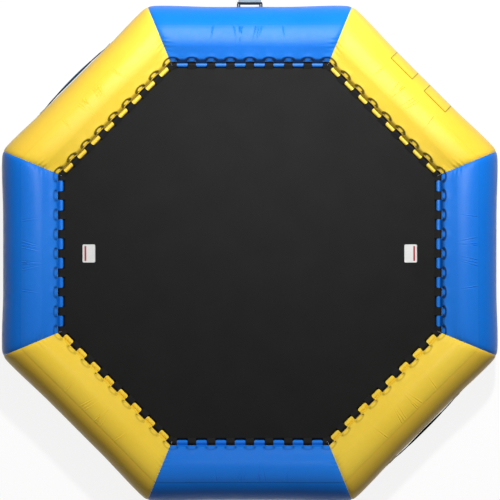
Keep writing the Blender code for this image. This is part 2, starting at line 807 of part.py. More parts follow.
def ring_outline(inset):
    """A letter D with its bar on top, drawn in its own plane round the bar's middle."""
    half = RING_HALF_WIDTH - inset
    top = RING_BAR / 2 - inset
    turns = [math.pi * (1 + k / (RING_ARC_POINTS - 1)) for k in range(RING_ARC_POINTS)]
    arc = [(half * math.cos(a), -RING_LEG + half * math.sin(a)) for a in turns]
    return [(half, top), (-half, top)] + arc


def build_anchors():
    loop_bore = math.hypot(RING_BAR, RING_THICKNESS) / 2 + ANCHOR_LOOP_CLEARANCE
    bar_height = FIT_GAP + PATCH_THICKNESS + loop_bore + ANCHOR_LOOP_THICKNESS / 2
    facet_angle = ANCHOR_FACET * FACET_STEP
    bar = polar(TUBE_CENTRE, TUBE_RADIUS + bar_height, facet_angle)
    sheet = patch_mesh("anchor_patch", ANCHOR_FACET - 1, ANCHOR_FACET + 1, ANCHOR_PATCH_LENGTH)
    loop_outer = regular_outline(
        bar, loop_bore + ANCHOR_LOOP_THICKNESS, SLEEVE_FACETS, facet_angle + math.pi
    )
    loop_inner = regular_outline(bar, loop_bore, SLEEVE_FACETS, facet_angle + math.pi)
    loop = prism("anchor_loop", [loop_outer, loop_inner], ANCHOR_LOOP_LENGTH / 2)
    patch = combined("anchor_patch", sheet, loop, "UNION")
    ring = prism("anchor_ring", [ring_outline(0.0), ring_outline(RING_BAR)], RING_THICKNESS / 2)
    for side in ("left", "right", "bottom"):
        angle = SIDE_ANGLES[side]
        part("anchor_patch_" + side, patch, "patch", section_frame(angle))
        part("anchor_ring_" + side, ring, "steel", front_frame(angle, bar[0], bar[1]))


# Ladder: each section hangs from a fold line, and its straps end at its step


def ladder_frame(place, lean):
    """Local x runs along the side, y down the ladder and z out of its face."""
    angle = SIDE_ANGLES["top"]
    out = outward(angle)
    up = Vector((0, 0, 1))
    side = out.cross(up)
    down = out * math.sin(lean) - up * math.cos(lean)
    return frame(side, down, side.cross(down), out * place[0] + up * place[1])


def build_ladder_section(name, place, lean, strap_length):
    """One section, from its fold line to the lower edge of its step."""
    matrix = ladder_frame(place, lean)
    lead = WEB_THICKNESS / 4
    strap = box("ladder_strap", LADDER_STRAP_WIDTH, strap_length + lead - FIT_GAP, WEB_THICKNESS)
    middle = (strap_length - FIT_GAP - lead) / 2
    pieces = []
    for end, direction in (("left", -1), ("right", 1)):
        offset = (direction * LADDER_STRAP_SPACING / 2, middle, 0.0)
        strap_name = "ladder_strap_" + name + "_" + end
        pieces.append(part(strap_name, strap, "webbing", matrix @ Matrix.Translation(offset)))
    board = box("ladder_step", STEP_WIDTH, STEP_DEPTH, STEP_THICKNESS)
    offset = (0.0, strap_length + STEP_DEPTH / 2, 0.0)
    step = part("ladder_step_" + name, board, "step", matrix @ Matrix.Translation(offset))
    bevel = step.modifiers.new("rounded_edge", "BEVEL")
    bevel.width = STEP_EDGE_RADIUS
    bevel.segments = 1
    pieces.append(step)
    pivot("ladder_fold_" + name, matrix, pieces)


def build_ladder():
    sheet = patch_mesh("ladder_patch", LADDER_FACET - 1, LADDER_FACET, LADDER_PATCH_LENGTH)
    part("ladder_patch", sheet, "patch", section_frame(SIDE_ANGLES["top"]))
    fold_gap = WEB_THICKNESS / 2 + FIT_GAP
    place = polar(
        TUBE_CENTRE,
        TUBE_RADIUS + FIT_GAP + PATCH_THICKNESS + fold_gap,
        LADDER_FACET * FACET_STEP,
    )
    lean = FIRST_STRAP_LEAN
    strap_length = FIRST_STRAP_LENGTH
    lying_height = FLOOR_Z + STEP_THICKNESS / 2
    for name in ("upper", "middle", "lower"):
        build_ladder_section(name, place, lean, strap_length)
        reach = strap_length + STEP_DEPTH + fold_gap
        place = (place[0] + reach * math.sin(lean), place[1] - reach * math.cos(lean))
        strap_length = LOWER_STRAP_LENGTH
        drop = (place[1] - lying_height) / (strap_length + STEP_DEPTH + fold_gap)
        lean = math.acos(max(min(drop, 1.0), 0.0))


SMOOTH_LIMIT = math.radians(30.0)

clear_scene()
bouncer = new_collection("water_bouncer")
cutters = new_collection("cutters")
workbench = new_collection("workbench")
materials = {name: make_material(name) for name in FINISHES}

build_tubes()
build_hinge_strips()
build_pipes()
build_mat()
build_valve()
build_handles()
build_anchors()
build_ladder()
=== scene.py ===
import math

import bpy
import numpy as np
from mathutils import Matrix, Vector


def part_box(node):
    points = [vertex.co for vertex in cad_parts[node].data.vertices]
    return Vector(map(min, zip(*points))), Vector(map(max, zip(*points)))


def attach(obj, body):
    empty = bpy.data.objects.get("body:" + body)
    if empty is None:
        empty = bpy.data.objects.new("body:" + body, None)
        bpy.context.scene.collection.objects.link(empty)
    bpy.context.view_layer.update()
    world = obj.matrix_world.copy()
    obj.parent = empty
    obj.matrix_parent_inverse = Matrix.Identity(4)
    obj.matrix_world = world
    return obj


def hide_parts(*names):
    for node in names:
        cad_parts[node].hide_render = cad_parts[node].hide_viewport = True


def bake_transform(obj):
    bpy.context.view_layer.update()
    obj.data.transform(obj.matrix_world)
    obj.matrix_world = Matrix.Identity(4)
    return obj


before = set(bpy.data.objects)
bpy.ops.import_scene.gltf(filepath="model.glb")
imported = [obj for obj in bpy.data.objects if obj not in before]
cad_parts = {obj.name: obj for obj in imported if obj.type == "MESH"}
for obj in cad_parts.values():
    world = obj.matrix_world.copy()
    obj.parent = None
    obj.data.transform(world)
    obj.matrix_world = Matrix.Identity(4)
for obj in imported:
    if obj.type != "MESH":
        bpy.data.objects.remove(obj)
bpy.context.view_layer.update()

# Studio: a long lens looks straight down on the ring. One lamp stands well off past its top and a
# softbox hangs over that end. The floor rises in a cove at its edges. It is white to the eye and
# dull to bounced light, so that tube walls that face away from the lamp keep their shade.
tube_low, tube_high = (Vector(corner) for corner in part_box("tube_right"))
TUBE_APOTHEM = (tube_low.x + tube_high.x) / 2
TUBE_RADIUS = (tube_high.z - tube_low.z) / 2
TUBE_HEIGHT = (tube_high.z + tube_low.z) / 2
FLOOR_HEIGHT = tube_low.z
LENS = 200.0
SENSOR = 36.0
CAMERA_REACH = 100.0
PICTURE_WIDTH = 4.635
CAMERA_OFFSET = (0.002, 0.032)
LAMP_AZIMUTH = math.radians(77.0)
LAMP_ELEVATION = math.radians(46.0)
LAMP_DISTANCE = 14.0
LAMP_SIZE = 1.0
LAMP_POWER = 1720.0
SOFTBOX_PLACE = (0.3, 2.35, 2.9)
SOFTBOX_SIZE = 4.4
SOFTBOX_POWER = 46.0
SOFTBOX_SPREAD = math.radians(105)
SKY_STRENGTH = 0.16
FLOOR_WIDTH = 120.0
FLOOR_GAP = 0.001
COVE_HEIGHT = 16.0
COVE_RADIUS = 10.0
FLOOR_ROUGHNESS = 0.9
FLOOR_DULL = (0.10, 0.10, 0.10, 1.0)
FLOOR_PALE = (0.16, 0.16, 0.16, 1.0)
FLOOR_GLOW = 0.87
WHITE = (1.0, 1.0, 1.0, 1.0)

camera_place = CAMERA_OFFSET + (TUBE_HEIGHT + PICTURE_WIDTH * LENS / SENSOR,)
bpy.ops.object.camera_add(location=camera_place, rotation=(0, 0, 0))
camera = bpy.context.object
camera.name = "view_from_above"
camera.data.lens = LENS
camera.data.sensor_width = SENSOR
camera.data.clip_end = CAMERA_REACH
bpy.context.scene.camera = camera
bpy.context.scene.view_settings.view_transform = "Standard"


def area_lamp(name, place, rotation, size, power):
    bpy.ops.object.light_add(type="AREA", location=place, rotation=rotation)
    lamp = bpy.context.object
    lamp.name = name
    lamp.data.shape = "DISK"
    lamp.data.size = size
    lamp.data.energy = power
    lamp.visible_camera = False
    return lamp


lamp_place = (
    LAMP_DISTANCE * math.cos(LAMP_ELEVATION) * math.cos(LAMP_AZIMUTH),
    LAMP_DISTANCE * math.cos(LAMP_ELEVATION) * math.sin(LAMP_AZIMUTH),
    LAMP_DISTANCE * math.sin(LAMP_ELEVATION),
)
lamp_turn = (0, math.pi / 2 - LAMP_ELEVATION, LAMP_AZIMUTH)
area_lamp("soft_lamp", lamp_place, lamp_turn, LAMP_SIZE, LAMP_POWER).visible_glossy = False
softbox = area_lamp("softbox", SOFTBOX_PLACE, (0, 0, 0), SOFTBOX_SIZE, SOFTBOX_POWER)
softbox.data.spread = SOFTBOX_SPREAD

world = bpy.data.worlds.new("open_sky")
world.use_nodes = True
sky = world.node_tree.nodes["Background"]
sky.inputs["Color"].default_value = WHITE
sky.inputs["Strength"].default_value = SKY_STRENGTH
bpy.context.scene.world = world


def clear_selection():
    bpy.ops.object.select_all(action="DESELECT")


def start_edit():
    bpy.ops.object.mode_set(mode="EDIT")


def edit_all():
    start_edit()
    bpy.ops.mesh.select_all(action="SELECT")


def end_edit():
    bpy.ops.object.mode_set(mode="OBJECT")


def start_piece(name):
    """Names the primitive just added and works its place into its mesh."""
    item = bpy.context.object
    item.name = item.data.name = name
    bpy.ops.object.transform_apply(location=True, rotation=True, scale=True)
    return item


def places_of(item):
    places = np.empty(len(item.data.vertices) * 3)
    item.data.vertices.foreach_get("co", places)
    return places.reshape(-1, 3)


def pick(item, kind, wanted):
    """In edit mode, selects the edges or faces whose corners pass the test, and nothing else."""
    bpy.context.view_layer.objects.active = item
    start_edit()
    bpy.ops.mesh.select_mode(type=kind)
    bpy.ops.mesh.select_all(action="DESELECT")
    end_edit()
    places = places_of(item)
    for element in item.data.edges if kind == "EDGE" else item.data.polygons:
        element.select = bool(wanted(places[list(element.vertices)]))
    start_edit()


clear_selection()
bpy.ops.mesh.primitive_plane_add(size=FLOOR_WIDTH, location=(0, 0, FLOOR_HEIGHT - FLOOR_GAP))
start_edit()
bpy.ops.mesh.extrude_region_move(TRANSFORM_OT_translate={"value": (0, 0, COVE_HEIGHT)})
bpy.ops.mesh.delete(type="ONLY_FACE")
end_edit()
pick(bpy.context.object, "EDGE", lambda ends: ends[:, 2].max() < COVE_HEIGHT / 2)
bpy.ops.mesh.bevel(offset=COVE_RADIUS, segments=10, affect="EDGES")
bpy.ops.mesh.faces_shade_smooth()
bpy.ops.mesh.select_mode(type="VERT")
end_edit()
floor = start_piece("floor")


def new_material(name, roughness, metallic=0.0):
    """A material with its node tree, and its Principled shader."""
    material = bpy.data.materials.new(name)
    material.use_nodes = True
    shader = material.node_tree.nodes["Principled BSDF"]
    shader.inputs["Roughness"].default_value = roughness
    shader.inputs["Metallic"].default_value = metallic
    return material, material.node_tree, shader


def feed(tree, sockets, sources):
    """Links each socket to its source, or sets it where the source is a plain value."""
    for socket, source in zip(sockets, sources):
        if isinstance(source, (int, float, tuple)):
            socket.default_value = source
        elif source is not None:
            tree.links.new(source, socket)


def add_math(tree, operation, first, second=None):
    node = tree.nodes.new("ShaderNodeMath")
    node.operation = operation
    feed(tree, node.inputs, (first, second))
    return node.outputs[0]


def add_mix(tree, factor, first, second, blend="MIX"):
    node = tree.nodes.new("ShaderNodeMix")
    node.data_type = "RGBA"
    node.blend_type = blend
    feed(tree, (node.inputs["Factor"], node.inputs["A"], node.inputs["B"]), (factor, first, second))
    return node.outputs["Result"]


floor_material, tree, shader = new_material("studio_floor", FLOOR_ROUGHNESS)
ray = tree.nodes.new("ShaderNodeLightPath").outputs
seen = add_math(tree, "MAXIMUM", ray["Is Camera Ray"], ray["Is Glossy Ray"])
seen = add_math(tree, "MAXIMUM", seen, ray["Is Transmission Ray"])
tree.links.new(add_mix(tree, seen, FLOOR_DULL, FLOOR_PALE), shader.inputs["Base Color"])
tree.links.new(add_math(tree, "MULTIPLY", seen, FLOOR_GLOW), shader.inputs["Emission Strength"])
shader.inputs["Emission Color"].default_value = WHITE
shader.inputs["Specular IOR Level"].default_value = 0.0
floor.data.materials.append(floor_material)

# Tube segments: eight mitred lengths of one air tube, blue and yellow by turns. Heavy PVC sheet
# on a polyester scrim is cut to gores and hot air welded, and air draws it tight. It swells a
# little toward the corners and is drawn in at the mitre welds, with small folds inside the bend.
SIDE_COUNT = 8
MITRE_SLOPE = math.tan(math.pi / SIDE_COUNT)
MITRE_GAP = 0.0002
SIDE_NAMES = "right upper_right top upper_left left lower_left bottom lower_right".split()
SIDES = [(side, turn, ("blue", "yellow")[turn % 2]) for turn, side in enumerate(SIDE_NAMES)]
TUBE_STEPS = 96
CORNER_SWELL = 0.011
SEAM_PINCH = 0.018
SEAM_PINCH_REACH = 0.030
WAVE_LENGTH = 0.9
WAVE_COUNT = 7
WAVINESS = 0.0022
BEND_FOLD_DEPTH = 0.0021
BEND_FOLD_PITCH = 9.0
VINYL_SHINE = 0.28
VINYL_SMOOTHEST = 0.29
VINYL_ROUGHEST = 0.43
VINYL_RELIEF = 0.0004
VINYL_GRAIN = 0.35
# How dark a vinyl turns under its mask of soil and painted shade.
SOIL_AND_SHADE_TONE = 0.12
SCRIM_THREADS = 330.0
BLUE = (0.005, 0.182, 0.760, 1.0)
BLUE_PALE = (0.008, 0.205, 0.800, 1.0)
YELLOW = (1.000, 0.645, 0.050, 1.0)
YELLOW_PALE = (1.000, 0.675, 0.075, 1.0)


def side_turn(turn):
    """Turns a piece drawn on the right-hand side to another side of the ring."""
    return Matrix.Rotation(turn * 2 * math.pi / SIDE_COUNT, 4, "Z")


def smooth(value):
    value = np.clip(value, 0.0, 1.0)
    return value * value * (3 - 2 * value)


def put_places(item, places):
    item.data.vertices.foreach_set("co", places.ravel())
    item.data.update()


def face_outward():
    edit_all()
    bpy.ops.mesh.normals_make_consistent(inside=False)
    end_edit()


def finish_shape(sharp_angle=math.radians(35.0)):
    """Turns all faces outward and shades the piece smooth between its sharp edges."""
    face_outward()
    bpy.ops.object.shade_smooth_by_angle(angle=sharp_angle)


def copy_piece(item, name, matrix=Matrix.Identity(4)):
    """A copy with its own mesh, turned to its place in the mesh itself."""
    twin = item.copy()
    twin.data = item.data.copy()
    twin.name = twin.data.name = name
    bpy.context.collection.objects.link(twin)
    twin.data.transform(matrix)
    return twin


def discard(*items):
    for item in items:
        bpy.data.objects.remove(item, do_unlink=True)


def sheet_wave(places):
    """Soft unevenness of stretched sheet: a few seeded sine waves summed, from -1 to 1."""
    dice = np.random.default_rng(11)
    total = np.zeros(len(places))
    for k in range(WAVE_COUNT):
        heading = dice.normal(size=3)
        heading /= np.linalg.norm(heading)
        length = WAVE_LENGTH / (1 + 0.45 * k)
        phase = places @ heading * 2 * math.pi / length + dice.uniform(0, 6.28)
        total += np.sin(phase) / (1 + 0.4 * k)
    return total / WAVE_COUNT * 1.6


def tube_swell(along, angle):
    """Growth of the wall's radius at a share of the way to the mitre and an angle up from out."""
    reach = np.minimum(np.abs(along), 1.0)
    outer = 0.5 + 0.5 * np.cos(angle)
    swell = CORNER_SWELL * smooth((reach - 0.35) / 0.5) * outer
    swell -= SEAM_PINCH * np.exp(-(1 - reach) / SEAM_PINCH_REACH)
    lean = np.degrees(angle) % 360
    folds = smooth((reach - 0.86) / 0.14) * smooth((lean - 92) / 14) * smooth((165 - lean) / 14)
    phase = lean * 2 * math.pi / BEND_FOLD_PITCH + 4.0 * np.sign(along) * reach
    return swell + BEND_FOLD_DEPTH * folds * np.sin(phase)


def follow_air(piece, turn, hold=None):
    """Gives a piece on the tube the soft unevenness of the wall, calmer low on its outer side."""
    outward = np.array(side_turn(turn).to_3x3() @ Vector((1, 0, 0)))
    places = places_of(piece)
    out = places @ outward - TUBE_APOTHEM
    up = places[:, 2] - TUBE_HEIGHT
    share = sheet_wave(places) * WAVINESS / TUBE_RADIUS
    share *= np.where(out > 0, 0.2 + 0.8 * smooth((up + 0.02) / 0.12), 1.0)
    if hold is not None:
        share *= hold(out + TUBE_APOTHEM)
    places += (out[:, None] * outward + up[:, None] * np.array((0, 0, 1))) * share[:, None]
    put_places(piece, places)


def fit_on_side(piece, turn, material, hold=None):
    """Turns a piece drawn on the right-hand side to its side, where it lies on the wall."""
    piece.data.transform(side_turn(turn))
    follow_air(piece, turn, hold)
    piece.data.materials.clear()
    piece.data.materials.append(material)


def write_attribute(item, name, values):
    layer = item.data.attributes.get(name) or item.data.attributes.new(name, "FLOAT", "POINT")
    layer.data.foreach_set("value", np.asarray(values, np.float32))


def write_sheet_map(item, across, along):
    """UV map in metres over the sheet, so a weave keeps its size."""
    layers = item.data.uv_layers
    layer = layers[0] if layers else layers.new(name="sheet")
    corners = np.empty(len(item.data.loops), np.int64)
    item.data.loops.foreach_get("vertex_index", corners)
    flat = np.stack([across[corners], along[corners]], axis=1)
    layer.data.foreach_set("uv", flat.astype(np.float32).ravel())


def new_group(name, inputs, outputs):
    """A node group with value inputs and the outputs that it gives, all made by name."""
    group = bpy.data.node_groups.new(name, "ShaderNodeTree")
    for socket, kind, value in inputs:
        made = group.interface.new_socket(name=socket, in_out="INPUT", socket_type=kind)
        made.default_value = value
    for socket in outputs:
        group.interface.new_socket(name=socket, in_out="OUTPUT", socket_type="NodeSocketFloat")
    given = group.nodes.new("NodeGroupInput").outputs
    return group, given, group.nodes.new("NodeGroupOutput").inputs


def split_map(tree, source):
    node = tree.nodes.new("ShaderNodeSeparateXYZ")
    tree.links.new(source, node.inputs[0])
    return node.outputs


# Threads of a plain weave, from a map in metres: each thread is a ridge that dips where it passes
# under its neighbour.
MAP_INPUT = ("Map", "NodeSocketVector", (0, 0, 0))
weave_group, given, result = new_group(
    "woven_threads", [MAP_INPUT, ("Threads per metre", "NodeSocketFloat", 400.0)], ["Height"]
)
parts = split_map(weave_group, given["Map"])
waves = []
for axis in ("X", "Y"):
    scaled = add_math(weave_group, "MULTIPLY", parts[axis], given["Threads per metre"])
    turned = add_math(weave_group, "MULTIPLY", scaled, math.pi)
    waves.append(add_math(weave_group, "SINE", turned))
crossing = add_math(weave_group, "MULTIPLY", *waves)
weave_group.links.new(add_math(weave_group, "MULTIPLY_ADD", crossing, 0.5), result["Height"])

# Handling marks: broad faint patches where wet hands and feet have dulled the surface.
marks_group, given, result = new_group(
    "handling_marks", [MAP_INPUT, ("Scale", "NodeSocketFloat", 2.0)], ["Broad", "Fine"]
)
for socket, factor, detail in (("Broad", 1.0, 3.0), ("Fine", 14.0, 5.0)):
    cloud = marks_group.nodes.new("ShaderNodeTexNoise")
    cloud.inputs["Detail"].default_value = detail
    scaled = add_math(marks_group, "MULTIPLY", given["Scale"], factor)
    feed(marks_group, (cloud.inputs["Vector"], cloud.inputs["Scale"]), (given["Map"], scaled))
    marks_group.links.new(cloud.outputs["Fac"], result[socket])


def add_group(tree, group, **sources):
    """Places a node group and feeds the inputs that are named, and gives its outputs."""
    node = tree.nodes.new("ShaderNodeGroup")
    node.node_tree = group
    feed(tree, [node.inputs[name.replace("_", " ")] for name in sources], sources.values())
    return node.outputs


def add_range(tree, source, low, high):
    """Spreads the middle of a noise's range from a low value to a high one."""
    node = tree.nodes.new("ShaderNodeMapRange")
    names = ("Value", "From Min", "From Max", "To Min", "To Max")
    feed(tree, [node.inputs[name] for name in names], (source, 0.3, 0.7, low, high))
    return node.outputs["Result"]


def finish_skin(tree, shader, colour, height, distance, strength):
    """Feeds a material's colour and its relief, of a height in metres, to its shader."""
    node = tree.nodes.new("ShaderNodeBump")
    names = ("Height", "Distance", "Strength")
    feed(tree, [node.inputs[name] for name in names], (height, distance, strength))
    outlets = (shader.inputs["Base Color"], shader.inputs["Normal"])
    feed(tree, outlets, (colour, node.outputs["Normal"]))


def marked_material(name, scale, shine, smoothest, roughest, metallic=0.0):
    """A material that handling marks dull, with its tree, shader, sheet map and marks."""
    material, tree, shader = new_material(name, smoothest, metallic)
    shader.inputs["Specular IOR Level"].default_value = shine
    where = tree.nodes.new("ShaderNodeTexCoord").outputs
    marks = add_group(tree, marks_group, Map=where["Object"], Scale=scale)
    tree.links.new(add_range(tree, marks["Fine"], smoothest, roughest), shader.inputs["Roughness"])
    return material, tree, shader, where["UV"], marks


def vinyl(name, colour, pale, shine):
    """Coated sheet, its scrim printing through, dulled in patches, dark in soil and painted shade.
    """
    material, tree, shader, sheet_map, marks = marked_material(
        name, 1.4, shine, VINYL_SMOOTHEST, VINYL_ROUGHEST
    )
    weave = add_group(tree, weave_group, Map=sheet_map, Threads_per_metre=SCRIM_THREADS)
    # The mask darkens the colour: painted shade and painted shadow on the hinge flaps, dark lines
    # at joints and sheet edges.
    soil_and_shade = tree.nodes.new("ShaderNodeAttribute")
    soil_and_shade.attribute_name = "soil_and_shade"
    faded = add_mix(tree, add_range(tree, marks["Broad"], 0.0, 0.8), colour, pale)
    clean = add_mix(tree, 1.0, faded, add_range(tree, marks["Fine"], 0.97, 1.0), "MULTIPLY")
    dark = tuple(channel * SOIL_AND_SHADE_TONE for channel in colour[:3]) + (1.0,)
    soiled_and_shaded = add_mix(tree, soil_and_shade.outputs["Fac"], clean, dark)
    relief = add_math(tree, "MULTIPLY_ADD", weave["Height"], 0.5)
    relief = add_math(tree, "ADD", relief, marks["Fine"])
    finish_skin(tree, shader, soiled_and_shaded, relief, VINYL_RELIEF, VINYL_GRAIN)
    return material


vinyls = {
    "blue": vinyl("blue_vinyl", BLUE, BLUE_PALE, VINYL_SHINE),
    "yellow": vinyl("yellow_vinyl", YELLOW, YELLOW_PALE, VINYL_SHINE),
}

clear_selection()
bpy.ops.mesh.primitive_cylinder_add(
    vertices=TUBE_STEPS,
    radius=TUBE_RADIUS,
    depth=2.0,
    end_fill_type="NGON",
    location=(TUBE_APOTHEM, 0, TUBE_HEIGHT),
    rotation=(math.pi / 2, 0, 0),
)
tube = start_piece("tube")
for cuts in (9, 15):
    pick(tube, "EDGE", lambda ends: abs(ends[0, 1] - ends[1, 1]) > 0.01)
    bpy.ops.mesh.subdivide(number_cuts=cuts)
    end_edit()
places = places_of(tube)
angle = np.arctan2(places[:, 2] - TUBE_HEIGHT, places[:, 0] - TUBE_APOTHEM)
along = places[:, 1]
radius = TUBE_RADIUS + tube_swell(along, angle)
places[:, 0] = TUBE_APOTHEM + radius * np.cos(angle)
places[:, 1] = along * (places[:, 0] * MITRE_SLOPE - MITRE_GAP)
places[:, 2] = np.maximum(TUBE_HEIGHT + radius * np.sin(angle), FLOOR_HEIGHT)
put_places(tube, places)
finish_shape()
write_sheet_map(tube, angle * TUBE_RADIUS, places[:, 1])
write_attribute(tube, "soil_and_shade", np.zeros(len(places)))
for side, turn, colour in SIDES:
    piece = copy_piece(tube, "air_tube_" + side)
    fit_on_side(piece, turn, vinyls[colour])
    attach(piece, "ring")
    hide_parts("tube_" + side)
discard(tube)

# Hinge strips: a flap of the same vinyl welded along each tube's crown. Its free edge is cut into
# eight tabs with a mushroom shaped opening between them, and each tab is wrapped round the pipe
# and sewn down. A short tongue behind every opening keeps the mat's tabs off the tube.
STRIP_THICKNESS = 0.002
STRIP_STANDOFF = 0.0030
STRIP_EDGE_STANDOFF = 0.0013
STRIP_EDGE_ANGLE = math.radians(73.0)
STRIP_SETTLE_ANGLE = math.radians(9.0)
STRIP_LEAVE_ANGLE = math.radians(115.0)
STRIP_BEND = np.array((1.780, 0.1800))
STRIP_BEND_SHARE = 0.22
STRIP_TOUCH = np.array((1.7628, 0.1243))
STRIP_HALF_LENGTH = 0.96
STRIP_HOLD_START = 1.800
STRIP_HOLD_REACH = 0.05
MITRE_SETBACK = 0.0004
PIPE_APOTHEM = 1.7445
PIPE_RISE = 0.1113
SLEEVE_RADIUS = 0.0226
SLEEVE_TURN = math.radians(290.0)
SLEEVE_STEPS = 60
TAB_PITCH = 0.178
TAB_COUNT = 8
NECK_HALF_WIDTH = 0.040
NECK_PLACES = [(k - TAB_COUNT / 2) * TAB_PITCH for k in range(TAB_COUNT + 1)]
TAB_HALF_WIDTH = TAB_PITCH / 2 - NECK_HALF_WIDTH
TAB_CORNER = 0.016
ARCH_CENTRE = 1.7870
ARCH_HALF_DEPTH = 0.0215
ARCH_HALF_WIDTH = 0.050
ARCH_STRETCH = 1.12
ARCH_LIFT = 0.003
# Inner limit of the painted shadow round each opening's rim, inward of the opening's middle.
ARCH_PAINTED_SHADOW_REACH = 0.012
CUTTER_MARGIN = 0.02
TONGUE_TOP = (1.838, 0.1970)
TONGUE_TIP = (1.7710, 0.1600)
TONGUE_BOW = 0.004
TONGUE_HALF_WIDTH = 0.044
TONGUE_THICKNESS = 0.0015
TONGUE_RUN = 0.08
FLAP_SHINE = 0.7
# The flap's yellow is the tube's yellow made a little lighter, a painted sheen.
YELLOW_FLAP_PAINTED_SHEEN = (1.000, 0.680, 0.045, 1.0)
YELLOW_FLAP_PALE_PAINTED_SHEEN = (1.000, 0.715, 0.070, 1.0)
# Painted shade by side: the marks are weaker on the lower sides, and the valley shadow is deepest
# on top.
SOIL_AND_SHADE_BY_SIDE = {"left": 0.5, "lower_left": 0.3, "bottom": 0.3, "lower_right": 0.3}
VALLEY_PAINTED_SHADOW = {"top": 0.75, "upper_right": 0.42, "upper_left": 0.35, "right": 0.50, "left": 0.10}
CREASED_HALF_LENGTH = 0.40
CREASE_HEIGHT = 0.0045
CREASE_REACH = 0.125
CREASES = (
    (-0.118, 0.010, 0.30),
    (-0.086, 0.008, 0.18),
    (-0.060, 0.009, 0.22),
    (0.072, 0.009, 0.10),
    (0.096, 0.008, -0.06),
    (0.150, 0.010, -0.20),
    (-0.300, 0.010, -0.15),
    (0.335, 0.009, 0.15),
)


def line_runs(line):
    """Distance of each point of a line from the line's start."""
    return np.concatenate([[0.0], np.cumsum(np.linalg.norm(np.diff(line, axis=0), axis=1))])


def along_line(line, run, step=0.0006):
    """Places and left-hand directions at distances along a line drawn in a plane."""
    runs = line_runs(line)

    def at(place):
        return np.stack([np.interp(place, runs, column) for column in np.transpose(line)], axis=1)

    heading = at(run + step) - at(run - step)
    heading /= np.linalg.norm(heading, axis=1)[:, None]
    return at(run), np.stack([-heading[:, 1], heading[:, 0]], axis=1)


def arc_points(centre, radius, start, stop, count):
    return [
        (centre[0] + radius * math.cos(turn), centre[1] + radius * math.sin(turn))
        for turn in np.linspace(start, stop, count)
    ]


def hump(off, width):
    return np.exp(-((off / width) ** 2))


def flat_sheet(name, cuts_along, cuts_across, thickness):
    """A thin slab one unit long and wide, its upper face at height nought."""
    clear_selection()
    bpy.ops.mesh.primitive_grid_add(x_subdivisions=cuts_along, y_subdivisions=cuts_across, size=1.0)
    start_edit()
    bpy.ops.mesh.extrude_region_move(TRANSFORM_OT_translate={"value": (0, 0, -thickness)})
    end_edit()
    return start_piece(name)


def join_pieces(items):
    """Joins pieces into the first of them."""
    clear_selection()
    for item in items:
        item.select_set(True)
    bpy.context.view_layer.objects.active = items[0]
    bpy.ops.object.join()
    return items[0]


def copy_to_necks(item):
    """Replaces a piece by copies of it, one at each opening between the tabs."""
    copies = [copy_piece(item, "copy", Matrix.Translation((0, y, 0))) for y in NECK_PLACES]
    discard(item)
    return copies


def mitre_ends(item):
    """Cuts a piece off at both mitres of its side and closes the cuts."""
    bpy.context.view_layer.objects.active = item
    for end in (-1, 1):
        edit_all()
        bpy.ops.mesh.bisect(
            plane_co=(0, end * -MITRE_SETBACK, 0),
            plane_no=(-math.sin(math.pi / SIDE_COUNT), end * math.cos(math.pi / SIDE_COUNT), 0),
            use_fill=True,
            clear_outer=True,
        )
        end_edit()
    finish_shape()


# Line of the strip in a side's section, out from the ring's centre and up from the tube's centre:
# over the wall, across the valley, and round the pipe.
lean = np.linspace(STRIP_EDGE_ANGLE, STRIP_LEAVE_ANGLE, 60)
settle = smooth((lean - STRIP_EDGE_ANGLE) / STRIP_SETTLE_ANGLE)
reach = TUBE_RADIUS + STRIP_EDGE_STANDOFF + (STRIP_STANDOFF - STRIP_EDGE_STANDOFF) * settle
profile = list(zip(TUBE_APOTHEM + reach * np.cos(lean), reach * np.sin(lean)))
leave = np.array(profile[-1])
before = STRIP_BEND + (leave - STRIP_BEND) * STRIP_BEND_SHARE
after = STRIP_BEND + (STRIP_TOUCH - STRIP_BEND) * STRIP_BEND_SHARE
profile += [leave + (before - leave) * share for share in np.linspace(0.1, 1.0, 8)]
for share in np.linspace(0.12, 1.0, 8):
    rest = 1 - share
    profile.append(rest**2 * before + 2 * share * rest * STRIP_BEND + share**2 * after)
profile += [after + (STRIP_TOUCH - after) * share for share in np.linspace(0.2, 0.95, 5)]
sleeve_start = math.atan2(STRIP_TOUCH[1] - PIPE_RISE, STRIP_TOUCH[0] - PIPE_APOTHEM)
sleeve_stop = sleeve_start + SLEEVE_TURN
profile += arc_points(
    (PIPE_APOTHEM, PIPE_RISE), SLEEVE_RADIUS, sleeve_start, sleeve_stop, SLEEVE_STEPS
)
profile = np.array([tuple(point) for point in profile])
profile_runs = line_runs(profile)
strip_length = float(profile_runs[-1])
sleeve_run = profile_runs[-SLEEVE_STEPS]
wall_part = slice(0, -SLEEVE_STEPS)
arch_run = float(np.interp(-ARCH_CENTRE, -profile[wall_part, 0], profile_runs[wall_part]))

strip = flat_sheet("hinge_strip", 92, 240, STRIP_THICKNESS)
face_outward()
places = places_of(strip)
places[:, 0] = (places[:, 0] + 0.5) * strip_length
creased_ends = (-STRIP_HALF_LENGTH, -CREASED_HALF_LENGTH, CREASED_HALF_LENGTH, STRIP_HALF_LENGTH)
places[:, 1] = np.interp(places[:, 1] * 2, (-1, -0.62, 0.62, 1), creased_ends)
places[:, 2] += STRIP_THICKNESS / 2
put_places(strip, places)

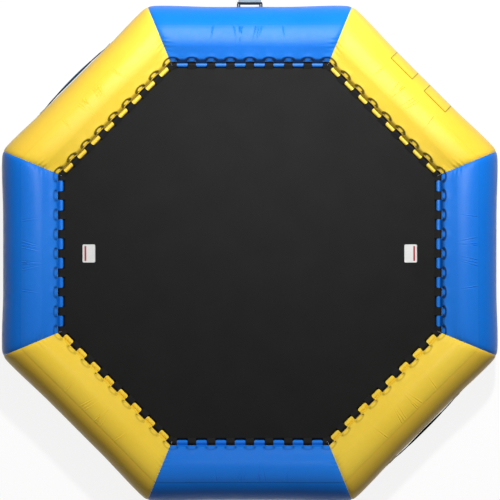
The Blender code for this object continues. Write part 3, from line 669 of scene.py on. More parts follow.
necks, arches = [], []
neck_end = strip_length + CUTTER_MARGIN
for place in NECK_PLACES:
    bpy.ops.mesh.primitive_cube_add(size=1.0, location=((arch_run + neck_end) / 2, place, 0))
    necks.append(bpy.context.object)
    necks[-1].scale = (neck_end - arch_run, 2 * NECK_HALF_WIDTH, 0.05)
    bpy.ops.mesh.primitive_cylinder_add(
        vertices=40, radius=1.0, depth=0.04, location=(arch_run, place, 0)
    )
    arches.append(bpy.context.object)
    arches[-1].scale = (ARCH_HALF_DEPTH * ARCH_STRETCH, ARCH_HALF_WIDTH, 1.0)
for cutter in (join_pieces(necks), join_pieces(arches)):
    bpy.context.view_layer.objects.active = strip
    cut = strip.modifiers.new("cut", "BOOLEAN")
    cut.operation = "DIFFERENCE"
    cut.solver = "EXACT"
    cut.object = cutter
    bpy.ops.object.modifier_apply(modifier=cut.name)
    discard(cutter)

places = places_of(strip)
run, along, depth = places.T.copy()
at, left = along_line(profile, np.clip(run, 0.0, strip_length), 0.0008)
out, up = at.T
from_neck = np.abs((along / TAB_PITCH + 0.5) % 1.0 - 0.5) * TAB_PITCH
tab_middle = (np.floor(along / TAB_PITCH) + 0.5) * TAB_PITCH
from_edge = np.clip((out - PIPE_APOTHEM + SLEEVE_RADIUS) / TAB_CORNER, 0, 1)
from_edge[run > sleeve_run + SLEEVE_RADIUS * (math.pi - sleeve_start)] = 0.0
inset = TAB_CORNER * (1 - np.sqrt(1 - (1 - from_edge) ** 2)) * (run > sleeve_run)
along = tab_middle + (along - tab_middle) * (1 - inset / TAB_HALF_WIDTH)
near_arch = hump(run - arch_run + 0.030, 0.026) * hump(from_neck, 0.040)
on_tube = 1 - smooth((run - 0.20) / 0.08)
crease = np.zeros(len(run))
for middle, width, slant in CREASES:
    off = along - middle - slant * run
    crease += hump(off, width) * np.sin(off * math.pi / width)
crease *= hump(run, CREASE_REACH) * smooth(run / 0.02)
swell = tube_swell(along / (out * MITRE_SLOPE), np.arctan2(up, out - TUBE_APOTHEM))
lift = depth + swell * on_tube + ARCH_LIFT * near_arch + CREASE_HEIGHT * crease
places = np.stack([out - left[:, 0] * lift, along, TUBE_HEIGHT + up - left[:, 1] * lift], axis=1)
put_places(strip, places)
write_sheet_map(strip, run, along)


def arch_share(out, from_neck):
    """Distance from the middle of the nearest opening, as a share of the opening's own reach."""
    return np.hypot((out - ARCH_CENTRE) / ARCH_HALF_DEPTH, from_neck / ARCH_HALF_WIDTH)


# Dark lines follow the weld and the cut edge. Painted shade darkens the sewn line at the valley's
# foot and the steep fall before it, and a ring of painted shadow lies round each opening's rim.
# A painted shadow fills the valley in front of the pipe too, darkest on the top side.
behind_arch = ARCH_CENTRE - ARCH_PAINTED_SHADOW_REACH
soil_and_shade = 0.12 * np.exp(-run / 0.004) + 0.25 * np.exp(-(strip_length - run) / 0.003)
soil_and_shade += 0.10 * hump(run - arch_run - 0.030, 0.02) + 0.45 * hump(run - sleeve_run, 0.005)
soil_and_shade += 0.85 * smooth((1.30 - arch_share(out, from_neck)) / 0.20) * (out > behind_arch)
write_attribute(strip, "soil_and_shade", np.clip(soil_and_shade, 0, 1))
# Painted shadow: a mask of the valley in front of the pipe, weighted by side below.
write_attribute(strip, "valley", smooth((1.798 - out) / 0.010) * smooth((out - 1.747) / 0.012))

tongue = flat_sheet("tongue", 20, 20, TONGUE_THICKNESS)
places = places_of(tongue)
fall = places[:, 0] + 0.5
out = TONGUE_TOP[0] + (TONGUE_TIP[0] - TONGUE_TOP[0]) * fall
up = TONGUE_TOP[1] + (TONGUE_TIP[1] - TONGUE_TOP[1]) * fall + TONGUE_BOW * np.sin(fall * math.pi)
along = places[:, 1] * 2 * TONGUE_HALF_WIDTH * (1 - 0.12 * smooth((fall - 0.7) / 0.3))
depth = places[:, 2]
put_places(tongue, np.stack([out + depth * 0.55, along, TUBE_HEIGHT + up + depth * 0.83], axis=1))
write_sheet_map(tongue, fall * TONGUE_RUN, along)
# Painted shadow: a dark ring on the tongue under the rim of its opening.
rim = smooth((arch_share(out, along) - 0.40) / 0.26)
write_attribute(tongue, "soil_and_shade", 0.95 * rim * (out > behind_arch))
strip = join_pieces([strip] + copy_to_necks(tongue))
mitre_ends(strip)


def hold_at_pipe(out):
    """Share of the wall's unevenness that the strip follows: none of it at the pipe."""
    return smooth((out - STRIP_HOLD_START) / STRIP_HOLD_REACH)


def read_attribute(item, name):
    values = np.empty(len(item.data.vertices), np.float32)
    item.data.attributes[name].data.foreach_get("value", values)
    return values


flaps = {
    "blue": vinyl("blue_flap_vinyl", BLUE, BLUE_PALE, FLAP_SHINE),
    "yellow": vinyl("yellow_flap_vinyl", YELLOW_FLAP_PAINTED_SHEEN, YELLOW_FLAP_PALE_PAINTED_SHEEN, FLAP_SHINE),
}
for side, turn, colour in SIDES:
    piece = copy_piece(strip, "hinge_flap_" + side)
    fit_on_side(piece, turn, flaps[colour], hold_at_pipe)
    # Painted shade: the marks are scaled by side, and each side's painted valley shadow is added.
    soil_and_shade = read_attribute(piece, "soil_and_shade") * SOIL_AND_SHADE_BY_SIDE.get(side, 1.0)
    soil_and_shade += read_attribute(piece, "valley") * VALLEY_PAINTED_SHADOW.get(side, 0.0)
    write_attribute(piece, "soil_and_shade", np.clip(soil_and_shade, 0, 1))
    piece.data.attributes.remove(piece.data.attributes["valley"])
    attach(piece, "ring")
    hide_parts("hinge_strip_" + side)
discard(strip)

# Hinge pipes: plain plastic pipe, one along each side inside the sleeves. The moulded CAD pipe
# shows only at its ends, and gets extruded plastic, faintly mottled.
def moulded(
    name,
    dark,
    light,
    smoothest,
    roughest,
    relief=0.0003,
    scale=6.0,
    shine=0.5,
    metallic=0.0,
    grain=0.5,
):
    """Moulded or drawn stuff of one colour, a little mottled, with fine unevenness of its skin."""
    material, tree, shader, _, marks = marked_material(
        name, scale, shine, smoothest, roughest, metallic
    )
    colour = add_mix(tree, add_range(tree, marks["Fine"], 0.0, 1.0), dark, light)
    finish_skin(tree, shader, colour, marks["Fine"], relief, grain)
    return material


def dress_node(node, material):
    """Gives a CAD node that stays in view its better material."""
    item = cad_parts[node]
    for place in item.material_slots:
        place.link = "OBJECT"
        place.material = material


def grey(shade, blue=0.0):
    return (shade, shade, shade + blue, 1.0)


PIPE_BLACK = grey(0.022, 0.002)
PIPE_GREY = grey(0.040, 0.003)
pipe_plastic = moulded("pipe_plastic", PIPE_BLACK, PIPE_GREY, 0.34, 0.55, grain=0.4)
for side in SIDE_NAMES:
    dress_node("hinge_pipe_" + side, pipe_plastic)

# Bounce mat: close woven polymer sheet in a plain middle panel with a border panel sewn round it.
# The border's edge is cut into tabs too, nine a side, each sewn round the pipe between two of the
# ring's own. The middle panel hangs on the mat, the tabs on the ring, and the border panels stay
# put.
MAT_THICKNESS = 0.0015
MAT_MIDDLE = 0.60
MAT_HOLD = 1.700
MAT_EDGE = 1.7345
MAT_DIP = 0.026
MAT_RIPPLE = 0.0008
MAT_RIPPLE_START = 1.55
MAT_RIPPLE_REACH = 0.1
MAT_TAB_HALF_WIDTH = 0.0388
MAT_SLEEVE_RADIUS = 0.0240
MAT_SLEEVE_START = 1.7010
MAT_SLEEVE_TOP = 0.0015
MAT_SLEEVE_END = (0.004, -0.0045)
MAT_SEAMS = (1.400, 1.390, MAT_HOLD - 0.018)
MAT_BLACK = grey(0.0180)
MAT_GREY = grey(0.0204)

# Rows of lock stitch along a seam: short raised threads with gaps between them.
stitch_group, given, result = new_group(
    "stitch_row",
    [
        ("Across", "NodeSocketFloat", 0.0),
        ("Along", "NodeSocketFloat", 0.0),
        ("Row", "NodeSocketFloat", 0.0),
        ("Stitch", "NodeSocketFloat", 0.005),
    ],
    ["Mask"],
)
off_row = add_math(stitch_group, "SUBTRACT", given["Across"], given["Row"])
on_row = add_math(stitch_group, "LESS_THAN", add_math(stitch_group, "ABSOLUTE", off_row), 0.0009)
length = add_math(stitch_group, "DIVIDE", given["Along"], given["Stitch"])
on_thread = add_math(stitch_group, "LESS_THAN", add_math(stitch_group, "FRACT", length), 0.72)
stitch_group.links.new(add_math(stitch_group, "MULTIPLY", on_row, on_thread), result["Mask"])


def add_seams(tree, across, along, rows, thread, colour, height):
    """Adds rows of stitches to a material's colour and relief."""
    for row in rows:
        seam = add_group(tree, stitch_group, Across=across, Along=along, Row=row)["Mask"]
        colour = add_mix(tree, seam, colour, thread)
        height = add_math(tree, "ADD", height, seam)
    return colour, height


def woven(name, dark, light, threads, roughness, rows=(), relief=0.0006, shine=0.2, stripe=None):
    """Woven sheet or webbing, from a map in metres, with rows of stitches or a stripe along it."""
    material, tree, shader, sheet_map, marks = marked_material(
        name, 3.0, shine, roughness - 0.08, roughness + 0.08
    )
    height = add_group(tree, weave_group, Map=sheet_map, Threads_per_metre=threads)["Height"]
    parts = split_map(tree, sheet_map)
    colour = add_mix(tree, add_range(tree, marks["Broad"], 0.0, 1.0), dark, light)
    if stripe:
        in_stripe = add_math(tree, "LESS_THAN", add_math(tree, "ABSOLUTE", parts["Y"]), stripe[0])
        colour = add_mix(tree, in_stripe, colour, stripe[1])
    colour, height = add_seams(tree, parts["X"], parts["Y"], rows, light, colour, height)
    finish_skin(tree, shader, colour, height, relief, 0.6)
    return material


mat_cloth = woven("mat_cloth", MAT_BLACK, MAT_GREY, 520.0, 0.82, MAT_SEAMS, shine=0.05)

clear_selection()
bpy.ops.mesh.primitive_circle_add(
    vertices=SIDE_COUNT,
    radius=MAT_MIDDLE / math.cos(math.pi / SIDE_COUNT),
    fill_type="TRIFAN",
    rotation=(0, 0, math.pi / SIDE_COUNT),
)
middle = start_piece("mat_middle")
edit_all()
bpy.ops.mesh.subdivide(number_cuts=9)
bpy.ops.mesh.extrude_region_move(TRANSFORM_OT_translate={"value": (0, 0, -MAT_THICKNESS)})
end_edit()
finish_shape()
write_sheet_map(middle, *places_of(middle).T[:2])
middle.data.materials.append(mat_cloth)
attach(middle, "mat")
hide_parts("bounce_mat")

sector = flat_sheet("mat_sector", 96, 60, MAT_THICKNESS)
places = places_of(sector)
share = places[:, 0] + 0.5
out = MAT_MIDDLE + (MAT_EDGE - MAT_MIDDLE) * (1 - (1 - share) ** 1.8)
along = places[:, 1] * 2 * out * MITRE_SLOPE
sink = smooth((out - MAT_HOLD) / (MAT_EDGE - MAT_HOLD))
ripple = smooth((out - MAT_RIPPLE_START) / MAT_RIPPLE_REACH) * (1 - sink)
ripple *= 1 + np.sin(along * 2 * math.pi / TAB_PITCH)
height = places[:, 2] - MAT_DIP * sink - MAT_RIPPLE * ripple
put_places(sector, np.stack([out, along, height], axis=1))
finish_shape()
write_sheet_map(sector, out, along)


def blend_with_mat(piece):
    """Works a piece's place on a side of the sheet into its mesh."""
    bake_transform(piece)


for turn, side in enumerate(SIDE_NAMES):
    piece = copy_piece(sector, "mat_panel_" + side, side_turn(turn))
    piece.data.materials.append(mat_cloth)
    blend_with_mat(piece)
    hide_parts("mat_border", "bounce_mat")
discard(sector)

# Sleeves of the mat's tabs: each leaves the sheet, goes over the pipe and comes back under it.
sleeve = flat_sheet("mat_tab", 44, 6, MAT_THICKNESS)
tangent = math.acos(MAT_SLEEVE_RADIUS / (PIPE_APOTHEM - MAT_SLEEVE_START))
pipe_middle = (PIPE_APOTHEM, TUBE_HEIGHT + PIPE_RISE)
wrap_path = [(MAT_SLEEVE_START, MAT_SLEEVE_TOP)]
wrap_path += arc_points(pipe_middle, MAT_SLEEVE_RADIUS, math.pi - tangent, -math.pi + tangent, 48)
wrap_path.append((MAT_SLEEVE_START + MAT_SLEEVE_END[0], MAT_SLEEVE_END[1]))
wrap_length = float(line_runs(wrap_path)[-1])
places = places_of(sleeve)
run = (places[:, 0] + 0.5) * wrap_length
at, left = along_line(wrap_path, run, 0.001)
places[:, ::2] = at + left * places[:, 2:]
places[:, 1] *= 2 * MAT_TAB_HALF_WIDTH
put_places(sleeve, places)
finish_shape()
write_sheet_map(sleeve, MAT_HOLD + run, places[:, 1])
tabs = join_pieces(copy_to_necks(sleeve))
mitre_ends(tabs)
for turn, side in enumerate(SIDE_NAMES):
    piece = copy_piece(tabs, "mat_tabs_" + side, side_turn(turn))
    piece.data.materials.append(mat_cloth)
    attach(piece, "ring")
    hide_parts("mat_border")
discard(tabs)

# Tags: two blank white vinyl tags, one each side, sewn flat on the mat's border all round their
# edge. Each carries one plain red stripe near its outer end, and nothing is printed on it.
TAG_PLACE = 1.485
TAG_WIDTH = 0.117
TAG_LENGTH = 0.167
TAG_THICKNESS = 0.0012
TAG_HEIGHT = 0.0003 + TAG_THICKNESS
TAG_CORNER = 0.012
TAG_HEM = 0.004
TAG_STRIPE_PLACE = 0.026
TAG_STRIPE_HALF_WIDTH = 0.0085
TAG_STRIPE_HALF_LENGTH = 0.068
TAG_WHITE = grey(0.80, -0.01)
TAG_SHADE = grey(0.72, -0.02)
TAG_THREAD = grey(0.45, -0.01)
TAG_RED = (0.42, 0.055, 0.060, 1.0)


def lay_sheet(item, line, width, plan=False, corner=0.0, lift=None, rim=0.25, rim_width=0.004):
    """Lays a flat slab along a line in a side's section (out, up), or in plan (out, along)."""
    length = float(line_runs(line)[-1])
    places = places_of(item)
    run, across, height = places[:, 0] * length, places[:, 1] * width, places[:, 2]
    if corner:
        over_run = np.maximum(np.abs(run) - (length / 2 - corner), 0.0)
        over_across = np.maximum(np.abs(across) - (width / 2 - corner), 0.0)
        longest = np.maximum(over_run, over_across)
        cut_off = 1 - longest / np.maximum(np.hypot(over_run, over_across), 1e-9)
        run -= np.sign(run) * over_run * cut_off
        across -= np.sign(across) * over_across * cut_off
    run += length / 2
    at, normal = along_line(line, run)
    if lift is not None:
        height = height + lift(at, across)
    first, second = (at + normal * height[:, None]).T
    columns = (first, second, across) if plan else (first, across, second)
    put_places(item, np.stack(columns, axis=1))
    finish_shape()
    write_sheet_map(item, run, across)
    # The colour darkens in a band rim_width wide along the sheet's edges, by a share rim at most.
    edge = np.minimum(np.minimum(run, length - run), width / 2 - np.abs(across))
    write_attribute(item, "soil_and_shade", rim * hump(edge, rim_width))
    return length


tag_vinyl, tree, shader, sheet_map, marks = marked_material("tag_vinyl", 9.0, 0.35, 0.40, 0.60)
parts = split_map(tree, sheet_map)
colour = add_mix(tree, add_range(tree, marks["Fine"], 0.0, 1.0), TAG_WHITE, TAG_SHADE)
off_stripe = add_math(tree, "SUBTRACT", parts["X"], TAG_STRIPE_PLACE)
sides = []
for off, reach in ((off_stripe, TAG_STRIPE_HALF_WIDTH), (parts["Y"], TAG_STRIPE_HALF_LENGTH)):
    sides.append(add_math(tree, "LESS_THAN", add_math(tree, "ABSOLUTE", off), reach))
colour = add_mix(tree, add_math(tree, "MULTIPLY", *sides), colour, TAG_RED)
colour, height = add_seams(
    tree, parts["X"], parts["Y"], (TAG_HEM, TAG_WIDTH - TAG_HEM), TAG_THREAD, colour, marks["Fine"]
)
hem_rows = (-TAG_LENGTH / 2 + TAG_HEM, TAG_LENGTH / 2 - TAG_HEM)
colour, height = add_seams(tree, parts["Y"], parts["X"], hem_rows, TAG_THREAD, colour, height)
finish_skin(tree, shader, colour, height, 0.0005, 0.6)

tag = flat_sheet("tag", 20, 28, TAG_THICKNESS)
places = places_of(tag)
places[:, 2] = -TAG_THICKNESS - places[:, 2]
put_places(tag, places)
tag_line = [(TAG_PLACE + TAG_WIDTH / 2, TAG_HEIGHT), (TAG_PLACE - TAG_WIDTH / 2, TAG_HEIGHT)]
lay_sheet(tag, tag_line, TAG_LENGTH, corner=TAG_CORNER, lift=lambda at, across: TAG_THICKNESS)
for side, turn in (("right", 0), ("left", 4)):
    piece = copy_piece(tag, "sewn_tag_" + side, side_turn(turn))
    piece.data.materials.append(tag_vinyl)
    blend_with_mat(piece)
    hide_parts("tag_" + side)
discard(tag)

# Valve: a moulded plastic base is welded through the upper right tube's wall, low on its outer
# face. A spring holds the plunger shut, and the screw cap seals on a rubber washer. The cap's
# collar hangs on a short rubber strap that is welded to the tube.
VALVE_PLACE = (1.6021016597, 1.6021016597, -0.2140058108)
VALVE_LEAN = math.radians(-22.5)
CAP_GRIP_RADIUS = 0.0362
CAP_GRIP_LOW = 0.0080
CAP_GRIP_HIGH = 0.0168
CAP_GRIP_COUNT = 18
CAP_RIB_DEPTH = 0.0026
CAP_RIB_WIDTH = 0.0034
CAP_RIB_ROUNDING = 0.0008
SPRING_COIL_RADIUS = 0.0055
SPRING_WIRE_RADIUS = 0.0006
SPRING_LOW = -0.0121
SPRING_HIGH = 0.0001
SPRING_COILS = 4
STRAP_WIDTH = 0.007
STRAP_THICKNESS = 0.0015
STRAP_CORNER = 0.002
STRAP_LINE = [
    (0.0400, 0.0054),
    (0.0425, 0.0062),
    (0.0450, 0.0063),
    (0.0475, 0.0052),
    (0.0495, 0.0034),
    (0.0515, 0.0022),
    (0.0540, 0.0019),
    (0.0619, 0.0019),
]

valve_plastic = moulded(
    "valve_plastic", grey(0.017, 0.002), grey(0.027, 0.003), 0.34, 0.50, scale=12.0
)
seal_rubber = moulded(
    "seal_rubber", grey(0.022, 0.001), grey(0.036, 0.001), 0.55, 0.75, scale=20.0, shine=0.3
)
steel = moulded(
    "stainless_steel", grey(0.55, 0.01), grey(0.66, 0.01), 0.22, 0.38, 0.0001, 40.0, metallic=1.0
)
for node in ("valve_base", "valve_plunger", "valve_cap"):
    dress_node(node, valve_plastic)
for node in ("cap_seal", "leash_ring"):
    dress_node(node, seal_rubber)

lean_cos, lean_sin = math.cos(VALVE_LEAN), math.sin(VALVE_LEAN)
valve_axes = Matrix(
    ((0, -lean_sin, lean_cos, 0), (1, 0, 0, 0), (0, lean_cos, lean_sin, 0), (0, 0, 0, 1))
)
valve_turn = Matrix.Translation(VALVE_PLACE) @ side_turn(1) @ valve_axes


def fit_on_valve(piece, name, material):
    """Names a piece drawn in the valve's own frame and turns it to the valve's place."""
    piece.name = piece.data.name = name
    piece.data.transform(valve_turn)
    piece.data.materials.append(material)


clear_selection()
bpy.ops.mesh.primitive_cube_add(
    size=1.0,
    scale=(CAP_RIB_DEPTH, CAP_RIB_WIDTH, CAP_GRIP_HIGH - CAP_GRIP_LOW),
    location=(CAP_GRIP_RADIUS, 0, (CAP_GRIP_LOW + CAP_GRIP_HIGH) / 2),
)
rib = start_piece("cap_rib")
pick(rib, "EDGE", lambda ends: ends[:, 0].min() > CAP_GRIP_RADIUS)
bpy.ops.mesh.bevel(offset=CAP_RIB_ROUNDING, segments=3)
end_edit()
ribs = []
for k in range(CAP_GRIP_COUNT):
    rib_turn = Matrix.Rotation(2 * math.pi * k / CAP_GRIP_COUNT, 4, "Z")
    ribs.append(copy_piece(rib, "cap_rib_copy", rib_turn))
ribs = join_pieces(ribs)
discard(rib)
finish_shape()
fit_on_valve(ribs, "cap_grip_ribs", valve_plastic)
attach(ribs, "cap")

clear_selection()
bpy.ops.mesh.primitive_circle_add(
    vertices=12,
    radius=SPRING_WIRE_RADIUS,
    location=(SPRING_COIL_RADIUS, 0, SPRING_LOW),
    rotation=(math.pi / 2, 0, 0),
)
spring = start_piece("spring_wire")
coil = spring.modifiers.new("coil", "SCREW")
coil.angle = 2 * math.pi * SPRING_COILS
coil.screw_offset = SPRING_HIGH - SPRING_LOW
coil.steps = coil.render_steps = 24 * SPRING_COILS
bpy.ops.object.modifier_apply(modifier=coil.name)
edit_all()
bpy.ops.mesh.fill_holes(sides=0)
finish_shape()
fit_on_valve(spring, "plunger_return_spring", steel)
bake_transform(spring)
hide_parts("valve_spring")

strap = flat_sheet("cap_strap", 36, 6, STRAP_THICKNESS)
lay_sheet(strap, STRAP_LINE, STRAP_WIDTH, corner=STRAP_CORNER)
fit_on_valve(strap, "cap_hanging_strap", seal_rubber)
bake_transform(strap)
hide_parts("cap_leash")

# Carrying handles: on the upper left and lower right, a webbing band bows along the tube's outer
# side between two welded patches, with its ends sewn down, and a foam grip is moulded round its
# middle. The upper left grip is dark blue, and the lower right one is black.
HANDLE_SPAN = 0.80
HANDLE_SEWN = 0.06
HANDLE_WEB_WIDTH = 0.025
HANDLE_REACH = 0.2698
HANDLE_STANDOFF = 0.018
HANDLE_SAG = 0.010
HANDLE_PATCH_PLACE = 0.43
HANDLE_PATCH_LENGTH = 0.13
HANDLE_PATCH_ANGLES = (math.radians(-16.9), math.radians(16.9))
WEB_THICKNESS = 0.002
WEB_THREADS = 620.0
WEB_RELIEF = 0.0008
WEB_ROUGHNESS = 0.74
WEB_SEAMS = (0.008, 0.016, 0.048, 0.052)
PATCH_THICKNESS = 0.0015
PATCH_GAP = 0.0004
PATCH_REACH = TUBE_RADIUS + PATCH_GAP + PATCH_THICKNESS
TUBE_MIDDLE = (TUBE_APOTHEM, TUBE_HEIGHT)
GRIP_LENGTH = 0.44
GRIP_THICKNESS = 0.014
GRIP_HEIGHT = 0.032
GRIP_BLUNTNESS = 2.8
GRIP_BLUE = (0.012, 0.045, 0.105, 1.0)
GRIP_BLUE_PALE = (0.020, 0.062, 0.140, 1.0)
GRIP_BLACK = grey(0.007, 0.001)
GRIP_BLACK_PALE = grey(0.013, 0.001)
FOAM_RELIEF = 0.0006

webbing = woven(
    "black_webbing",
    grey(0.010, 0.002),
    grey(0.018, 0.002),
    WEB_THREADS,
    WEB_ROUGHNESS,
    WEB_SEAMS,
    relief=WEB_RELIEF,
    shine=0.3,
)


def foam_skin(name, dark, light, smoothest, scale, shine):
    """Closed cell foam with a dull skin."""
    return moulded(name, dark, light, smoothest, smoothest + 0.20, FOAM_RELIEF, scale, shine)


blue_foam = foam_skin("blue_grip_foam", GRIP_BLUE, GRIP_BLUE_PALE, 0.55, 30.0, 0.3)
black_foam = foam_skin("black_grip_foam", GRIP_BLACK, GRIP_BLACK_PALE, 0.60, 30.0, 0.2)
HANDLES = (
    ("upper_left", 3, blue_foam, "grip_foam", math.radians(18.0), 0.0025),
    ("lower_right", 7, black_foam, "webbing", math.radians(15.0), 0.0075),
)


def weld_patch(
    name, turn, angles, length, material, place=0.0, cuts=(30, 24), corner=0.012, **edge
):
    """A patch welded on a side's wall between two angles up from out, and its run over the wall."""
    patch = flat_sheet(name, *cuts, PATCH_THICKNESS)

    def swell(at, across):
        lean = np.arctan2(at[:, 1] - TUBE_HEIGHT, at[:, 0] - TUBE_APOTHEM)
        return tube_swell((place + across) / (at[:, 0] * MITRE_SLOPE), lean)

    line = arc_points(TUBE_MIDDLE, PATCH_REACH, angles[1], angles[0], 24)
    run = lay_sheet(patch, line, length, corner=corner, lift=swell, **edge)
    patch.data.transform(Matrix.Translation((0, place, 0)))
    fit_on_side(patch, turn, material)
    return patch, run


def handle_out(along):
    """Distance of the band's middle from the ring's centre, at a place along the side."""
    share = np.minimum(np.abs(along) / (HANDLE_SPAN / 2), 1.0)
    swell = tube_swell(along / (TUBE_APOTHEM * MITRE_SLOPE), np.zeros_like(along))
    return TUBE_APOTHEM + HANDLE_REACH + swell + HANDLE_STANDOFF * (1 - share * share)


def droop(item, lean, pull):
    """Sags the band's free length toward the tube and tips its upper edge away from it."""
    places = places_of(item)
    free = 1 - np.minimum(np.abs(places[:, 1]) / (HANDLE_SPAN / 2), 1.0)
    tip = lean * smooth(free / 0.22)
    middle = handle_out(places[:, 1])
    out, up = places[:, 0] - middle, places[:, 2] - TUBE_HEIGHT
    places[:, 0] = middle + out * np.cos(tip) + up * np.sin(tip) - pull * smooth(free)
    places[:, 2] = TUBE_HEIGHT + up * np.cos(tip) - out * np.sin(tip) - HANDLE_SAG * smooth(free)
    put_places(item, places)


def foam_bar(name, vertices, cuts, insets):
    """A round bar one unit long along the side, with rings of points to shape it by."""
    clear_selection()
    bpy.ops.mesh.primitive_cylinder_add(
        vertices=vertices, radius=1.0, depth=1.0, rotation=(math.pi / 2, 0, 0)
    )
    bar = start_piece(name)
    pick(bar, "EDGE", lambda ends: abs(ends[0, 1] - ends[1, 1]) > 0.5)
    bpy.ops.mesh.subdivide(number_cuts=cuts)
    end_edit()
    pick(bar, "FACE", lambda ends: np.ptp(ends[:, 1]) < 0.001)
    for thickness in insets:
        bpy.ops.mesh.inset(thickness=thickness)
    end_edit()
    return bar


def round_end(share, start, least):
    """Share of a bar's full thickness, which falls in a quarter round toward its end."""
    return least + (1 - least) * np.sqrt(1 - np.clip((share - start) / (1 - start), 0, 1) ** 2)


half_band = HANDLE_SPAN / 2 + HANDLE_SEWN
stops = np.linspace(half_band, -half_band, 93)
band = flat_sheet("handle_band", 92, 4, WEB_THICKNESS)
band_line = np.stack([handle_out(stops) + WEB_THICKNESS / 2, stops], axis=1)
band_run = lay_sheet(band, band_line, HANDLE_WEB_WIDTH, plan=True)
band.data.transform(Matrix.Translation((0, 0, TUBE_HEIGHT)))

grip = foam_bar("handle_grip", 28, 63, (0.35, 0.35))
places = places_of(grip)
share = np.abs(places[:, 1]) * 2
along = places[:, 1] * GRIP_LENGTH
lean = np.arctan2(places[:, 2], places[:, 0])
across, up = np.cos(lean), np.sin(lean)
blunt = (np.abs(across) ** GRIP_BLUNTNESS + np.abs(up) ** GRIP_BLUNTNESS) ** (-1 / GRIP_BLUNTNESS)
groove = 1 - 0.07 * hump(share - 0.90, 0.008) - 0.05 * hump(share - 0.87, 0.008)
full = np.hypot(places[:, 0], places[:, 2]) * blunt * round_end(share, 0.93, 0.72) * groove
crescent = 1.15 - 0.75 * share**2
out = handle_out(along) + across * full * crescent * GRIP_THICKNESS / 2
put_places(grip, np.stack([out, along, TUBE_HEIGHT + up * full * GRIP_HEIGHT / 2], axis=1))
finish_shape()

for side, turn, foam, slot, lean, pull in HANDLES:
    for end, place in (("_a", -HANDLE_PATCH_PLACE), ("_b", HANDLE_PATCH_PLACE)):
        patch, patch_run = weld_patch(
            "handle_weld_patch_" + side + end,
            turn,
            HANDLE_PATCH_ANGLES,
            HANDLE_PATCH_LENGTH,
            vinyls["yellow"],
            place,
        )
        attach(patch, "ring")
        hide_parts("handle_patch_" + side + end)
    piece = copy_piece(band, "handle_band_" + side)
    droop(piece, lean, pull)
    fit_on_side(piece, turn, webbing)
    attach(piece, "ring")
    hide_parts("handle_web_" + side)
    piece = copy_piece(grip, "handle_grip_sleeve_" + side)
    droop(piece, lean, pull)
    fit_on_side(piece, turn, foam)
    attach(piece, "ring")
    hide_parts("handle_grip_" + side)
discard(band, grip)

# Anchors: low on the left, right and bottom tubes a round cornered patch is welded on, a webbing
# loop is sewn across it, and a welded steel D ring hangs in the loop to take the mooring line.
ANCHOR_ANGLES = (math.radians(-50.6), math.radians(-16.9))
ANCHOR_PATCH_LENGTH = 0.15
ANCHOR_PATCH_CORNER = 0.03
ANCHOR_BAR = (2.24652, -0.26371)
ANCHOR_LOOP_WIDTH = 0.038
ANCHOR_LOOP_REACH = 0.0047 + WEB_THICKNESS / 2
ANCHOR_LOOP_ANGLE = math.radians(62.0)
ANCHOR_LOOP_SEWN = np.array((0.034, 0.011))
WEB_REACH = PATCH_REACH + WEB_THICKNESS
RING_HALF_WIDTH = 0.0245
RING_WIRE = 0.0025
RING_LEG = 0.012
RING_CORNER = 0.004

black_vinyl = vinyl("black_patch_vinyl", grey(0.014, 0.002), grey(0.020, 0.002), 0.3)

lean = math.atan2(ANCHOR_BAR[1] - TUBE_HEIGHT, ANCHOR_BAR[0] - TUBE_APOTHEM)
far, near = ANCHOR_LOOP_SEWN / TUBE_RADIUS
loop_line = arc_points(TUBE_MIDDLE, WEB_REACH, lean + far, lean + near, 8)
loop_line += arc_points(
    ANCHOR_BAR, ANCHOR_LOOP_REACH, lean + ANCHOR_LOOP_ANGLE, lean - ANCHOR_LOOP_ANGLE, 17
)
loop_line += arc_points(TUBE_MIDDLE, WEB_REACH, lean - near, lean - far, 8)
loop = flat_sheet("anchor_loop", 64, 6, WEB_THICKNESS)
loop_run = lay_sheet(loop, loop_line, ANCHOR_LOOP_WIDTH)

half = RING_HALF_WIDTH
outline = arc_points((half - RING_CORNER, -RING_CORNER), RING_CORNER, math.pi / 2, 0, 8)
outline += [(half, -RING_LEG * share) for share in np.linspace(0.45, 1.0, 4)]
outline += arc_points((0, -RING_LEG), half, 0, -math.pi, 40)[1:-1]
outline += [(-out, up) for out, up in reversed(outline[:12])]
outline = np.array(outline + outline[:1])
clear_selection()
bpy.ops.mesh.primitive_torus_add(
    major_radius=1.0, minor_radius=RING_WIRE, major_segments=96, minor_segments=14
)
d_ring = start_piece("anchor_ring")
places = places_of(d_ring)
turned = (np.arctan2(places[:, 1], places[:, 0]) / (2 * math.pi)) % 1.0
off = np.hypot(places[:, 0], places[:, 1]) - 1.0
at, left = along_line(outline, turned * line_runs(outline)[-1])
along, up = (at + left * off[:, None]).T
put_places(d_ring, np.stack([ANCHOR_BAR[0] + places[:, 2], along, ANCHOR_BAR[1] + up], axis=1))
finish_shape(math.radians(60.0))

for side, turn in (("right", 0), ("left", 4), ("bottom", 6)):
    patch, patch_run = weld_patch(
        "anchor_weld_patch_" + side,
        turn,
        ANCHOR_ANGLES,
        ANCHOR_PATCH_LENGTH,
        black_vinyl,
        corner=ANCHOR_PATCH_CORNER,
    )
    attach(patch, "ring")
    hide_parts("anchor_patch_" + side)
    piece = copy_piece(loop, "anchor_loop_" + side)
    fit_on_side(piece, turn, webbing)
    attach(piece, "ring")
    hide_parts("anchor_patch_" + side)
    piece = copy_piece(d_ring, "anchor_d_ring_" + side, side_turn(turn))
    piece.data.materials.append(steel)
    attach(piece, "anchor_ring_" + side)
    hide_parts("anchor_ring_" + side)
discard(loop, d_ring)

